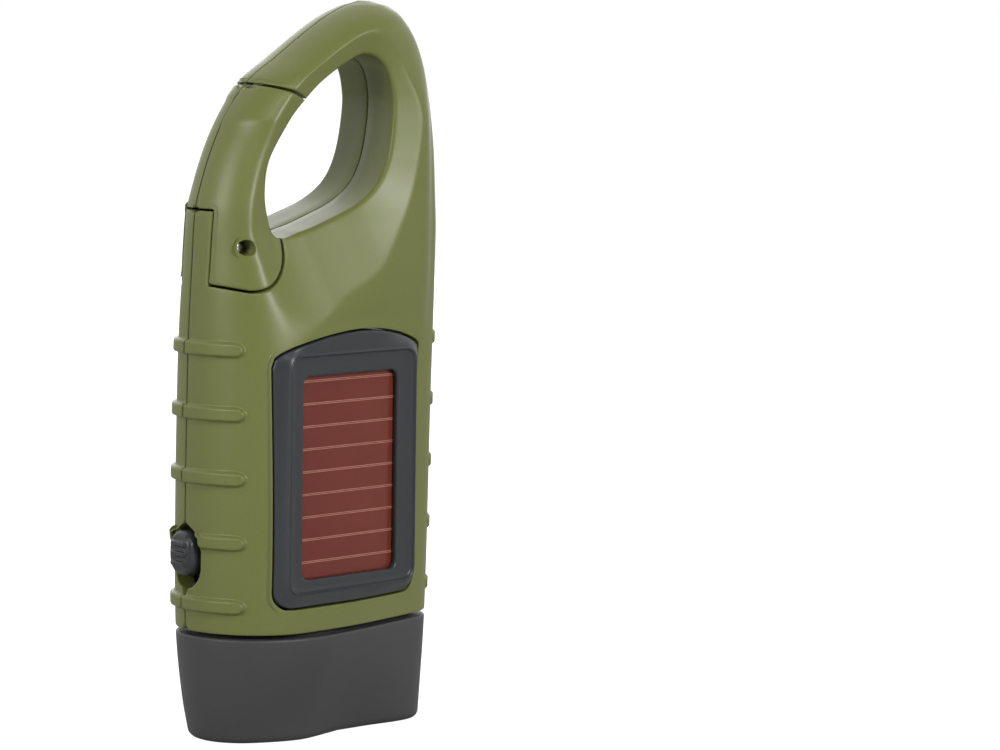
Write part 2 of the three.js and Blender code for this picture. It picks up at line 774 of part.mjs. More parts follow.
function rearShell() {
  const room = cavity.subtract(union([rearFittings(), screwPosts(1)]));
  return shellBlank.subtract(room)
    .subtract(neckRoom)
    .intersect(rearHalf)
    .subtract(prismY(cupOutline(cupRadius - cupWall), cupFloorY, reachY))
    .subtract(rodY(recessRadius, hubX, hubZ, recessFloorY, reachY, 40))
    .subtract(rodY(hubShaftRadius + gap * 2 + bushWall, hubX, hubZ, bushLowY - cutOver, reachY, 28))
    .subtract(rodY(axleRadius + gap, oneX, oneZ, 0, axleTopY + gap, 12))
    .subtract(rodY(axleRadius + gap, twoX, twoZ, 0, shortAxleTopY + gap, 12))
    .subtract(screwHoles(screwEndY))
    .subtract(slotCut())
    .subtract(springBay)
    .subtract(springSlot(gap))
    .subtract(pinBore);
}

function gateSolid() {
  const fork = gateRegion(0).subtract(tongueRegion(gap)).subtract(
    box(-halfWidth - cutOver, pinX + gateReach, -tongueHalfWidth - gap, tongueHalfWidth + gap,
      pinZ - 2 * knuckleRadius, pinZ));
  return outer.intersect(fork).subtract(ringCut).subtract(pinBore).subtract(springSlot(gap))
    .subtract(rodY(pinHoleRadius, pinX, pinZ, pinHalfLength + gap, reachY, 16))
    .subtract(rodY(pinHoleRadius, pinX, pinZ, -reachY, -pinHalfLength - gap, 16));
}

// A round wire swept along points, closed at its ends
function wireSolid(points, radius, sides) {
  const rings = points.map((p, i) => {
    const before = points[Math.max(i - 1, 0)];
    const after = points[Math.min(i + 1, points.length - 1)];
    const along = after.clone().sub(before).normalize();
    const side = new THREE.Vector3(0, 1, 0).cross(along);
    if (side.length() < uprightLimit) side.set(1, 0, 0);
    side.normalize();
    const up = along.clone().cross(side);
    return Array.from({ length: sides }, (_, k) => {
      const angle = 2 * Math.PI * k / sides;
      return p.clone().addScaledVector(side, radius * Math.cos(angle))
        .addScaledVector(up, radius * Math.sin(angle)).toArray();
    });
  });
  return ringSolid(rings);
}

function springPath() {
  const path = [];
  const low = -springTurns * springPitch / 2;
  path.push(new THREE.Vector3(pinX + springRadius, low, pinZ + springLegLength));
  path.push(new THREE.Vector3(pinX + springRadius, low, pinZ + springRadius));
  const steps = springTurns * springTurnSteps;
  for (let i = 0; i <= steps; i += 1) {
    const angle = -2 * Math.PI * i / springTurnSteps;
    path.push(new THREE.Vector3(pinX + springRadius * Math.cos(angle),
      low + springPitch * springTurns * i / steps, pinZ + springRadius * Math.sin(angle)));
  }
  return path;
}

function springLeastGap(path) {
  let least = Infinity;
  const coil = path.slice(2);
  coil.forEach((a, i) => coil.forEach((b, j) => {
    if (j - i > springTurnSteps / 2) least = Math.min(least, a.distanceTo(b));
  }));
  return least - springWire;
}

// Head parts
function headSolid() {
  const below = box(-reachY * 2, reachY * 2, -reachY, reachY, 0, headHeight - headSeamGap / 2);
  const room = bodySolid(lensLowZ - gap, headHeight + cutOver, -headWall);
  const mouth = bodySolid(0, lensLowZ + gap, -headWall - lensRimWidth);
  const mouthCut = ringSolid([
    sectionAt(0, -headWall - lensRimWidth).map(([x, y]) => [x, y, -cutOver]),
    sectionAt(lensLowZ, -headWall - lensRimWidth).map(([x, y]) => [x, y, lensLowZ + gap]),
  ]);
  const neckLowZ = headHeight - neckDepth;
  const neckOuter = bodySolid(neckLowZ, neckTopZ, -wall - neckEase - gap);
  const collar = bodySolid(neckLowZ, neckLowZ + headWall, -headWall / 2);
  const neckInner = bodySolid(neckLowZ - cutOver, neckTopZ + cutOver, -wall - neckEase - gap - neckWall);
  return outer.intersect(below).subtract(room).subtract(mouthCut).subtract(mouth)
    .add(union([neckOuter, collar]).subtract(neckInner));
}

function headInsert(lowZ, topZ) {
  const low = sectionAt(lowZ, -headWall - gap).map(([x, y]) => [x, y, lowZ]);
  const top = sectionAt(lowZ, -headWall - gap).map(([x, y]) => [x, y, topZ]);
  return ringSolid([low, top]);
}

function reflectorSolid() {
  const bowls = bowlXs.map((x) => rodZ(bowlMouthRadius, x, 0, reflectorLowZ - gap, reflectorTopZ + gap, 24,
    bowlThroatRadius));
  return headInsert(reflectorLowZ, reflectorTopZ).subtract(union(bowls));
}

function ledSolid(x) {
  const dome = new THREE.SphereGeometry(ledRadius, 12, 6);
  dome.translate(x, 0, ledBaseZ);
  return solidOf(dome).add(rodZ(ledRadius, x, 0, ledBaseZ, ledBoardLowZ - gap, 12));
}

// Crank parts
function hubSolid() {
  const disc = rodY(hubDiscRadius, hubX, hubZ, hubDiscBackY, hubDiscFaceY, 36);
  const shaft = rodY(hubShaftRadius, hubX, hubZ, hubShaftEndY, hubDiscFaceY, 20);
  const barrel = new THREE.CylinderGeometry(barrelRadius, barrelRadius, 2 * lugHalfWidth, 20);
  barrel.rotateZ(Math.PI / 2);
  barrel.translate(0, foldPinY, 0);
  const foot = box(-lugHalfWidth, lugHalfWidth, hubDiscFaceY - lugSink, foldPinY,
    -barrelRadius, barrelRadius);
  const hole = new THREE.CylinderGeometry(foldPinRadius + gap, foldPinRadius + gap, 4 * lugHalfWidth, 12);
  hole.rotateZ(Math.PI / 2);
  hole.translate(0, foldPinY, 0);
  const lug = solidOf(barrel).add(foot).subtract(solidOf(hole));
  return disc.add(shaft).add(armPlaced(lug));
}

function armSolid() {
  const half = armHubWidth / 2;
  const tip = armTipWidth / 2;
  const outline = [
    [-half, -barrelRadius * plateFootShare], [half, -barrelRadius * plateFootShare], [half, barrelRadius],
    ...arcPoints(0, armReach, tip, 0, 180, 14),
    [-half, barrelRadius],
  ];
  const plate = prismY(outline, foldPinY - armThickness / 2, foldPinY + armThickness / 2);
  const barrel = new THREE.CylinderGeometry(barrelRadius, barrelRadius, armHubWidth, 24);
  barrel.rotateZ(Math.PI / 2);
  barrel.translate(0, foldPinY, 0);
  const fork = [
    [-forkHalfGap, -2 * barrelRadius], [forkHalfGap, -2 * barrelRadius],
    ...arcPoints(0, forkSlotEnd - forkHalfGap, forkHalfGap, 0, 180, 8),
  ];
  const bore = new THREE.CylinderGeometry(foldPinRadius + gap, foldPinRadius + gap, 2 * armHubWidth, 12);
  bore.rotateZ(Math.PI / 2);
  bore.translate(0, foldPinY, 0);
  return armPlaced(plate.add(solidOf(barrel))
    .subtract(prismY(fork, foldPinY - 2 * barrelRadius, foldPinY + 2 * barrelRadius))
    .subtract(solidOf(bore))
    .subtract(rodY(rivetRadius + gap, 0, armReach, 0, reachY, 14)));
}

function foldPinSolid() {
  const rod = new THREE.CylinderGeometry(foldPinRadius, foldPinRadius, armHubWidth - 2 * gap, 16);
  rod.rotateZ(Math.PI / 2);
  rod.translate(0, foldPinY, 0);
  return armPlaced(solidOf(rod));
}

function knobSolid() {
  const seat = foldPinY - armThickness / 2 - gap;
  return rodY(knobRadius, knobX, knobZ, knobTipY, seat - knobNeckLength, 28)
    .add(rodY(knobNeckRadius, knobX, knobZ, knobTipY, seat, 28))
    .subtract(rodY(rivetRadius + gap, knobX, knobZ, knobTipY - cutOver, seat + cutOver, 14))
    .subtract(rodY(rivetHeadRadius + gap, knobX, knobZ, knobTipY - cutOver,
      knobTipY + rivetHeadHeight + gap, 18));
}

function rivetSolid() {
  const top = foldPinY + armThickness / 2;
  return rodY(rivetRadius, knobX, knobZ, knobTipY + rivetHeadHeight / 2, top, 14)
    .add(rodY(rivetHeadRadius, knobX, knobZ, knobTipY, knobTipY + rivetHeadHeight, 18));
}

// Gear train, generator and small parts
function plateSolid() {
  const marks = [[hubX, hubZ], [oneX, oneZ], [rotorX, rotorZ], [twoX, twoZ]];
  const discs = marks.map(([x, z]) => rodY(plateRim, x, z, plateLowY, plateTopY, 20));
  const arms = marks.map(([x, z], i) => {
    const [nextX, nextZ] = marks[(i + 1) % marks.length];
    const length = Math.hypot(nextX - x, nextZ - z);
    const bar = new THREE.BoxGeometry(length, plateTopY - plateLowY, plateRim);
    bar.rotateY(-Math.atan2(nextZ - z, nextX - x));
    bar.translate((x + nextX) / 2, (plateLowY + plateTopY) / 2, (z + nextZ) / 2);
    return solidOf(bar);
  });
  return union([...discs, ...arms])
    .subtract(rodY(hubShaftRadius + gap, hubX, hubZ, -reachY, reachY, 20))
    .subtract(rodY(rotorShaftRadius + gap, rotorX, rotorZ, -reachY, reachY, 12))
    .subtract(rodY(axleRadius + gap, oneX, oneZ, -reachY, reachY, 12))
    .subtract(rodY(axleRadius + gap, twoX, twoZ, -reachY, reachY, 12));
}

function gearOneSolid() {
  const bore = axleRadius + gap;
  const phasePinion = gapFacing(gearOneDirection, pinionTeeth);
  return gearSolid(gearOneTeeth, fineModule, oneX, oneZ, lowerLevelLowY, lowerLevelTopY + gap,
    facing(gearTwoDirection), bore)
    .add(gearSolid(pinionTeeth, coarseModule, oneX, oneZ, lowerLevelTopY, upperLevelTopY,
      phasePinion, bore));
}

function gearTwoSolid() {
  const bore = axleRadius + gap;
  const phasePinion = gapFacing(gearTwoDirection, pinionTeeth);
  return gearSolid(gearTwoTeeth, fineModule, twoX, twoZ, finalLevelLowY, finalLevelTopY,
    facing(rotorDirection), bore)
    .add(gearSolid(pinionTeeth, fineModule, twoX, twoZ, finalLevelTopY - gap, lowerLevelTopY,
      phasePinion, bore));
}

function rotorPinionSolid() {
  return gearSolid(rotorTeeth, fineModule, rotorX, rotorZ, finalLevelLowY, finalLevelTopY + gap,
    gapFacing(rotorDirection, rotorTeeth), rotorShaftRadius + gap);
}

function generatorCup() {
  const front = generatorFrontY;
  return rodY(generatorRadius, rotorX, rotorZ, front, plateLowY - gap, 32)
    .subtract(rodY(generatorRadius - generatorWall, rotorX, rotorZ, front + generatorWall, reachY, 32))
    .subtract(rodY(rotorShaftRadius + gap, rotorX, rotorZ, -reachY, reachY, 12));
}

function coilSolid() {
  return rodY(coilOuterRadius, rotorX, rotorZ, magnetFrontY, magnetBackY, 28)
    .subtract(rodY(coilInnerRadius, rotorX, rotorZ, -reachY, reachY, 28));
}

function screwSolid(x, z) {
  return rodY(screwShankRadius, x, z, screwEndY, screwSeatY + gap + screwHeadHeight / 2, 12)
    .add(rodY(screwHeadRadius, x, z, screwSeatY + gap, screwSeatY + gap + screwHeadHeight, 18));
}

function sliderSolid() {
  const half = sliderHalfWidth;
  const knob = [
    [-half, sliderLowZ + half / 2], [-half / 2, sliderLowZ], [half / 2, sliderLowZ],
    [half, sliderLowZ + half / 2], [half, sliderTopZ - half / 2], [half / 2, sliderTopZ],
    [-half / 2, sliderTopZ], [-half, sliderTopZ - half / 2],
  ];
  const geometry = new THREE.ExtrudeGeometry(shapeOf(knob), {
    depth: -halfWidth - sliderOuterX + wall + sliderRidge, bevelEnabled: false });
  geometry.applyMatrix4(new THREE.Matrix4().makeBasis(
    new THREE.Vector3(0, 1, 0), new THREE.Vector3(0, 0, 1), new THREE.Vector3(1, 0, 0)));
  geometry.translate(sliderOuterX + sliderRidge, 0, 0);
  const middle = (sliderLowZ + sliderTopZ) / 2;
  const step = (sliderTopZ - sliderLowZ - half) / sliderRidges;
  const ridges = Array.from({ length: sliderRidges }, (_, i) => {
    const z = middle + (i - (sliderRidges - 1) / 2) * step;
    return box(sliderOuterX, sliderOuterX + 2 * sliderRidge, -half * ridgeShare, half * ridgeShare,
      z - step / 4, z + step / 4);
  });
  const stem = box(sliderOuterX + 2 * sliderRidge, sliderFootX - gap, -sliderFootHalf, sliderFootHalf,
    middle - sliderFootHalf, middle + sliderFootHalf);
  return union([solidOf(geometry), ...ridges, stem]);
}

function mainBoardSolid() {
  return box(mainBoardLeft, mainBoardRight, mainBoardY - boardThickness, mainBoardY,
    mainBoardLowZ, mainBoardTopZ);
}

// The assembly
const part = new THREE.Group();

function place(name, solid, material) {
  const mesh = new THREE.Mesh(geometryOf(solid), material);
  mesh.name = name;
  part.add(mesh);
}

place('front_shell', frontShell(), greenPlastic);
place('rear_shell', rearShell(), greenPlastic);
place('carabiner_gate', gateSolid(), greenPlastic);
place('gate_pin', rodY(pinRadius, pinX, pinZ, -pinHalfLength, pinHalfLength, 16), steel);
place('gate_spring', wireSolid(springPath(), springWire / 2, 5), steel);
place('solar_bezel', bezelSolid(), blackPlastic);
place('solar_cell', cellSolid(), cellGlass);
place('head_bezel', headSolid(), greyPlastic);
place('lens', headInsert(lensLowZ + gap, lensLowZ + gap + lensThickness), clearPlastic);
place('reflector', reflectorSolid(), chromed);
place('led_board', headInsert(ledBoardLowZ, ledBoardLowZ + boardThickness), boardGreen);
bowlXs.forEach((x, i) => place(`led_${i + 1}`, ledSolid(x), clearPlastic));
place('switch_slider', sliderSolid(), blackPlastic);
place('switch_body', box(sliderFootX, switchInnerX, -switchBodyHalfWidth, switchBodyHalfWidth,
  switchBodyLowZ, switchBodyTopZ), steel);
place('main_board', mainBoardSolid(), boardGreen);
for (let i = 0; i < cellCount; i += 1) {
  const low = batteryLowZ + i * (buttonHeight + gap);
  place(`battery_cell_${i + 1}`, rodZ(buttonRadius, batteryX, batteryY, low, low + buttonHeight), steel);
}
place('crank_hub', hubSolid(), blackPlastic);
place('crank_arm', armSolid(), blackPlastic);
place('fold_pin', foldPinSolid(), steel);
place('crank_knob', knobSolid(), blackPlastic);
place('knob_rivet', rivetSolid(), steel);
const bushRadius = hubShaftRadius + gap;
place('hub_bush', rodY(bushRadius + bushWall, hubX, hubZ, bushLowY, recessFloorY, 28)
  .subtract(rodY(bushRadius, hubX, hubZ, -reachY, reachY, 24)), whitePlastic);
place('drive_gear', gearSolid(driveTeeth, coarseModule, hubX, hubZ, upperLevelLowY, upperLevelTopY,
  facing(gearOneDirection), hubShaftRadius + gap), whitePlastic);
const clipTopY = upperLevelLowY - gap;
place('hub_clip', rodY(clipRadius, hubX, hubZ, clipTopY - clipThickness, clipTopY, 20)
  .subtract(rodY(hubShaftRadius + gap, hubX, hubZ, -reachY, reachY, 20)), steel);
place('gear_plate', plateSolid(), steel);
place('axle_1', rodY(axleRadius, oneX, oneZ, plateLowY, axleTopY, 12), steel);
place('axle_2', rodY(axleRadius, twoX, twoZ, plateLowY, shortAxleTopY, 12), steel);
place('gear_1', gearOneSolid(), whitePlastic);
place('gear_2', gearTwoSolid(), whitePlastic);
place('rotor_pinion', rotorPinionSolid(), whitePlastic);
place('rotor_shaft', rodY(rotorShaftRadius, rotorX, rotorZ, generatorFrontY, finalLevelTopY + gap, 12),
  steel);
place('rotor_magnet', rodY(magnetRadius, rotorX, rotorZ, magnetFrontY, magnetBackY, 24)
  .subtract(rodY(rotorShaftRadius + gap, rotorX, rotorZ, -reachY, reachY, 12)), magnetGrey);
place('generator_cup', generatorCup(), steel);
place('generator_coil', coilSolid(), copper);
screws.forEach(([name, x, z]) => place(name, screwSolid(x, z), steel));
[-1, 1].forEach((side, i) => place(`led_lead_${i + 1}`, rodZ(leadRadius, side * leadSpacing / 2,
  mainBoardY - boardThickness / 2, ledBoardLowZ + boardThickness + gap, mainBoardLowZ - gap, 8), copper));

// The origin is at the middle of the bottom of the whole part's box
const bounds = new THREE.Box3().setFromObject(part);
const middle = bounds.getCenter(new THREE.Vector3());
part.position.set(-middle.x, -middle.y, -bounds.min.z);

console.log('least gap of the gate spring', springLeastGap(springPath()).toFixed(3));
console.log('group moved by', part.position.toArray().map((v) => v.toFixed(3)).join(' '));

export default part;
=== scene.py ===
"""Looks of a hand crank flashlight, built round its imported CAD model.

All lengths in this file are millimetres in the maker's frame: z = 0 at the lens end, y = 0 at
the parting plane, -y towards the solar face. `to_frame` turns them into the model's metres.
"""
import math

import bmesh
import bpy
import numpy as np
from mathutils import Matrix, Vector
from mathutils.geometry import delaunay_2d_cdt


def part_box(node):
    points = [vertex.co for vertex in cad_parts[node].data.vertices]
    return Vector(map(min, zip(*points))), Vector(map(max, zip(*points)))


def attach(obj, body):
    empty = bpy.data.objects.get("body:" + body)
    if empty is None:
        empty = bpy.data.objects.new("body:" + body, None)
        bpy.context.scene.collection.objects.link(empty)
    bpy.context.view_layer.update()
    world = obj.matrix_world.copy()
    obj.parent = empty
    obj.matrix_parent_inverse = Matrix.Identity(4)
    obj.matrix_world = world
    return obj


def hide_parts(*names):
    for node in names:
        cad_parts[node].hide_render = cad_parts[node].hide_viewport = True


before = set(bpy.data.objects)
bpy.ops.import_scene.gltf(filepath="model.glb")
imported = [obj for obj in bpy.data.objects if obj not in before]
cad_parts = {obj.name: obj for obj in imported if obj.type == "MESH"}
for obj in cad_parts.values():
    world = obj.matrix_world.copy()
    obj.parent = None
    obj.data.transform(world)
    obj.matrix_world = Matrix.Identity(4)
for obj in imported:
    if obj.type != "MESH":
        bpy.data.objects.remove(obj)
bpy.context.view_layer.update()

bl_info = {
    "name": "Hand crank flashlight",
    "version": (1, 0, 0),
    "blender": (4, 5, 0),
    "location": "View3D > Sidebar > Flashlight",
    "description": "Builds the surfaces, finishes and studio of a hand crank flashlight",
    "category": "Add Mesh",
}

# Body
BODY_LENGTH = 140.0
HALF_WIDTH = 27.2
BELLY_RADIUS = 16.2
BELLY_X = -7.5
FRONT_NOSE_RADIUS = 16.2
REAR_NOSE_RADIUS = 11.2
SPINE_NOSE_RADIUS = 8.2
SECTION_BLEND = 0.35
SECTION_SOFT = 1.2
HEAD_HEIGHT = 21.0
SEAM_HALF_GAP = 0.45
CROWN = BODY_LENGTH * 0.9998
WAIST_X = 6.0
WAIST_SPAN = 9.0
WAIST_SHARE = 0.26
WAIST_POWER = 1.5
SWITCH_SIDE = [
    (0, -0.893), (0.057, -0.949), (0.15, -0.996), (0.32, -1.004), (0.5, -0.993), (0.571, -0.982),
    (0.643, -0.963), (0.718, -0.938), (0.75, -0.897), (0.786, -0.835), (0.821, -0.757), (0.857, -0.647),
    (0.892, -0.493), (0.921, -0.279), (0.957, -0.015), (0.979, 0.169), (0.993, 0.331), (1, 0.47)]
SPINE_SIDE = [
    (0, 0.956), (0.15, 1), (0.43, 1.029), (0.68, 1.055), (0.736, 1.044), (0.807, 1.022),
    (0.879, 0.967), (0.936, 0.882), (0.971, 0.768), (0.993, 0.621), (1, 0.47)]
FRONT_NOSE = [
    (0, 0.62), (0.15, 1), (0.5, 1), (0.618, 0.86), (0.675, 0.75), (0.718, 0.7),
    (0.75, 0.66), (0.82, 0.6), (0.893, 0.56), (1, 0.5)]
REAR_NOSE = [
    (0, 0.85), (0.15, 1), (0.5, 1), (0.618, 0.93), (0.675, 0.86), (0.718, 0.82),
    (0.75, 0.78), (0.82, 0.75), (0.893, 0.73), (1, 0.67)]
BELLY = [
    (0, 0.741), (0.04, 0.79), (0.15, 1), (0.5, 1), (0.557, 0.926), (0.618, 0.79), (0.675, 0.722),
    (0.718, 0.654), (0.75, 0.605), (0.82, 0.568), (0.893, 0.549), (1, 0.52)]
BELLY_FRONT = [
    (0, 0.741), (0.04, 0.79), (0.15, 1), (0.5, 1), (0.557, 0.98), (0.618, 0.93), (0.675, 0.87),
    (0.718, 0.82), (0.75, 0.78), (0.82, 0.74), (0.893, 0.68), (1, 0.58)]
SPINE_NOSE = [(0, 0.88), (0.15, 0.98), (0.5, 1.01), (0.7, 1.07), (0.893, 1.05), (1, 0.98)]

# Ring hole, gate and post
RING_MARKS = [
    (-0.49, 0.683), (-0.257, 0.6914), (-0.022, 0.707), (0.206, 0.7264), (0.364, 0.7514),
    (0.449, 0.782), (0.504, 0.832), (0.511, 0.875), (0.449, 0.911), (0.294, 0.927), (0.11, 0.9143),
    (-0.213, 0.8714), (-0.397, 0.83), (-0.537, 0.7857), (-0.57, 0.7429), (-0.548, 0.7107)]
PIN = (-20.5, 93.9)
KNUCKLE_RADIUS = 7.9
GATE_REACH = 30.6
POCKET_GAP = 0.5
POST_HALF = 4.5
FORK_HALF = 4.8
POST_TOP = 100.5
HEEL_Z = 88.5
HEEL_REACH_X = -HALF_WIDTH - 5
TIP_SWEEP = 20
NOTCH_GAP, CUT_CLEAR = 0.4, 0.3
PIN_HOLE_RADIUS, PIN_HOLE_FLOOR = 1.5, 5.0
GATE_PIN_RADIUS, GATE_PIN_REACH = 1.2, 7.6
GATE_LOW, GATE_HIGH = 84, 128
TIP_MARK, GATE_LOW_MARK, SHELL_LOW_MARK = 334, 3, 7
TONGUE_RADIUS, TONGUE_EDGE = 6.2, 0.3
TONGUE_NECK_X, TONGUE_BACK_X, TONGUE_FOOT_Z = -17.4, -24.0, 84.0
TONGUE_STOP = 124

# Ribs and switch slot
RIB_LEVELS = (75.0, 62.94, 50.88, 38.82, 26.76)
RIB_HALF = 1.5
RIB_EASE = 0.5
RIB_SPINE_SHARE = 0.5
RIB_TOP = 78.0
RIB_END_X = {-1: -21.7, 1: -20.8}
RIB_END_Y = 6.0
RIB_ROWS = (0.7, 0.85, 1.0, 1.15, 1.3, 1.45, 1.6)
RIB_PATCH_P = (0.02, 0.22)
RIB_PATCH_HALF = 1.9
SLOT_LOW = 29.3
SLOT_TOP = 42.0
SLOT_HALF = 4.4
SLOT_POINT = 2.6

# Scoop of the front face towards the ring, the shoulder beside it and the flat face round the panel.
# A pair (start, stop) is the stretch over which a form comes in.
SCOOP_EDGES = [(80, 9.3), (98, 9.5), (110, 9.2), (128, 8.2), (140, 7.8)]
SCOOP_SLOPE = 0.37
SCOOP_BLEND, SCOOP_SOFTER, SCOOP_SOFTER_X = 0.12, 0.25, (-8.0, -14.0)
SCOOP_LOW_Z, SCOOP_NONE = 66.0, 60.0
GATE_EDGE, GATE_SLOPE = 8.9, 0.3
GATE_SIDE_X, GATE_SIDE_Z = (-12.5, -15.5), (90.0, 98.0)
SHOULDER = 2.2
SHOULDER_X, SHOULDER_SPINE_X = (-4.0, 10.0), (24.6, 20.1)
SHOULDER_Z, SHOULDER_TOP_Z = (66.0, 92.0), (132.0, 116.0)
FACE_EASE, FACE_BLEND = 0.3, 0.5
FACE_TOP_Z, FACE_TOP_SLOPE = 80.0, 0.3

# Knob rest
KNOB_X, KNOB_Z = 14.690, 87.152
CUP_RADIUS = 7.2
CUP_WALL = 1.5
CUP_REACH = 5.0
CUP_RIM_Y = 12.9
CUP_FLOOR_Y = 7.6
CUP_FLARE, CUP_FLARE_EASE = 1.15, 1.0
CUP_RIM_DROP, CUP_BLEND, CUP_SPREAD = 0.4, 1.1, 9.0
CUP_PATCH_P, CUP_PATCH_Z = (0.62, 0.97), (78.1, 98.5)

# Crank
HUB_X, HUB_Z = -7.0, 46.7
RECESS_RADIUS = 9.3
RECESS_FLOOR_Y = 13.2
DISC_RADIUS = 8.6
DISC_BACK, DISC_FACE = 13.6, 17.0
FOLD_Y = 20.9
BARREL = 3.6
LUG_HALF = 2.6
FORK_GAP = 2.9
FORK_END = 9.2
HUB_SHAFT_RADIUS, HUB_SHAFT_END = 3.0, 3.7
LUG_FOOT, LUG_EDGE, LUG_TURN = 4.3, 0.45, (-28, 208)
KNUCKLE_BORE, KNUCKLE_EDGE = 1.2, 0.45
ARM_LEAN = math.radians(28.2)
ARM_HUB_WIDTH, ARM_TIP_WIDTH, ARM_THICK, ARM_REACH = 13.2, 9.6, 3.4, 45.9
KNOB_TIP = 13.3
KNOB_RADIUS, KNOB_ROUND, KNOB_NECK, KNOB_BORE, KNOB_SEAT_GAP = 4.6, 0.9, 3.6, 1.3, 0.3
RIVET_HEAD, RIVET_SHANK = 2.2, 1.2
SCREWS = {"handle_screw": (11.4, 134.2), "shoulder_screw": (-17.0, 77.6), "lower_screw": (-16.4, 26.9),
          "spine_screw": (20.4, 28.4)}
SCREW_HOLE_RADIUS, SCREW_SEAT, SCREW_HOLE_FLOOR = 2.2, 4.3, 2.0
SCREW_SHANK, SCREW_HEAD, SCREW_LOW, SCREW_CROWN = 0.95, 1.9, -4.5, 1.35
CROSS_HALF, CROSS_REACH, CROSS_DEPTH = 0.3, 1.25, 0.9
FOLD_PIN_RADIUS, FOLD_PIN_PROUD = 1.1, 0.12
PIN_DOME = 0.35

# Switch knob
SLIDER_LOW, SLIDER_TOP, SLIDER_HALF = 31.7, 40.4, 3.5
SLIDER_OUT, SLIDER_BACK, SLIDER_FOOT = -29.2, -25.6, -22.7
SLIDER_CORNER, SLIDER_EDGE_SHARE = 3.4, 0.22
SLIDER_SIDE, SLIDER_EDGE_DROP, SLIDER_CROWN, SLIDER_BOW = 0.6, 1.5, 0.55, 0.35
SLIDER_STEM_HALF, SLIDER_STEM_EDGE = 1.9, 0.2
RIDGE_PITCH, RIDGE_LIFT, RIDGE_SPAN, RIDGE_WIDTH_SHARE, RIDGE_SOFT = 1.9, 0.55, 3.1, 0.72, 0.5

# Head: its profile's rows are (z, how far the section is grown)
HEAD_DROP, HEAD_ROUND, RIM_RADIUS = 0.45, 0.45, 1.3
NECK_Z, NECK_OUT, NECK_IN, NECK_STEP = HEAD_HEIGHT + 3.6, -2.5, -3.9, -1.2
HEAD_MOUTH = [(0.0, -2.4), (0.06, -3.1), (0.3, -3.45), (1.2, -3.5), (1.25, -1.8), (16.0, -1.8),
              (17.2, NECK_IN), (NECK_Z, NECK_IN)]

# Lamps
REFLECTOR_Z, REFLECTOR_SKIRT, REFLECTOR_GROW, BOWL_HEIGHT = 3.3, 4.0, -2.15, 9.1
REFLECTOR_WALL = 0.3
BOWLS = (-13.2, 0.4, 13.6)
BOWL_MOUTH, BOWL_THROAT = 5.6, 2.8
LAMP_RADIUS, LAMP_Z = 2.3, 6.2
LAMP_BACK = [(0, 2.0), (0, 4.8), (0.25, 4.9), (0.25, 5.7), (-0.1, 5.9)]

# Solar panel
PANEL_ANGLE = math.radians(8.5)
PANEL_X, PANEL_Y = -2.0, -14.6
BEZEL_LEFT, BEZEL_RIGHT, BEZEL_LOW = -15.3, 22.4, 26.4
BEZEL_SHOULDER_LEFT, BEZEL_SHOULDER_RIGHT, BEZEL_ARCH = 71.5, 74.0, 79.0
BEZEL_CORNER = 3.4
ARCH_POWERS = (0.36, 0.72)
BEZEL_SINK, BEZEL_DEPTH, BEZEL_GAP, BEZEL_EDGE = 0.1, 4.9, 0.35, (0.1, 3.6)
RIDGE = (-12.6, 20.0, 29.0, 73.8)
RIDGE_STEP, BEAD = 0.35, 0.25
WINDOW = (-9.1, 15.5, 31.4, 69.8)
WINDOW_CORNER, RIDGE_CORNER, WINDOW_UNDER = 1.6, 2.2, 1.6
CELL_RECESS = 1.5
BEVEL_SHARE, BEVEL_FALL, BEVEL_RISE, BEVEL_FOOT = 0.10, 0.45, 0.18, 0.5
BEAD_SHARE, BEAD_FOOT = 0.90, 0.05
STEP_SHARE, WINDOW_ROUND_SHARE, WINDOW_ROUND = 0.12, 0.14, 0.5
CELL_LINE_Z, CELL_PITCH, CELL_PAIR, CELL_LINE_HALF = 68.75, 4.28, 0.14, 0.1

# Edges of the half skins: where the surface turns in to the parting plane, the wall's foot, and
# the radii of the lips
RIM_Y = 1.0
SEAM_Y = 0.12
FOOT = 0.25
SEAM_TURN, SEAM_EASE, SEAM_SHORT, SEAM_CLEAR = 0.6, 1.4, 0.4, 0.8
SHARP_TURN, MITRE_LIMIT = 0.82, 0.35
CORNER_LIP, CORNER_LIP_SLOPE, LIP_DEPTH_SHARE = 0.02, 0.25, 0.35
LEAST_WALL = 0.2
LIP, RING_LIP, HEAD_LIP, SLOT_LIP, POST_LIP = 0.45, 0.8, 0.35, 0.35, 0.3
HOLE_LIP, PIN_LIP, BEZEL_LIP = 0.3, 0.2, 0.18
HEAD_WALL, SLOT_WALL, POST_WALL, BEZEL_WALL = 2.5, 3.5, 3.0, 5.2

# Grids of the half skins. SPREAD_P makes a share p about as long as its stretch, in millimetres.
GRID_STEP, GRID_COUNT, GRID_GAP = 0.6, 141, 0.2
SPREAD_P = 60.0
CROWN_LOW, CROWN_FINE = 136.0, 137.0
CROWN_HALF_DEPTH, CROWN_RISE_SHARE = 1.5, 0.8

# Picture and room, with the floor and the lamps' (name, place, power, size) in metres and watts
PICTURE_PIXELS = (1000, 750)
SENSOR = 36
FOCAL_PIXELS = 3686.34
TARGET_PIXEL = (305.33, 368.04)
TARGET_Z = 70
FLOOR_HALF = 4
ROLL = math.radians(0.82)
FLOOR_GLOW = 0.88
ROOM_DARK, ROOM_BRIGHT = 0.07, 1.0
ROOM_DARK_WAY = (-0.45, -0.78, 0.42)
ROOM_DARK_SPAN = (-0.15, 0.60)
LAMPS = (("key", (-1.1, -0.15, 0.5), 5.5, 0.4), ("top", (-0.5, -0.65, 1.0), 2.5, 0.3),
         ("front", (0.12, -1.05, 0.5), 8.0, 0.3), ("back", (0.7, 1.0, 0.35), 3.5, 0.8))

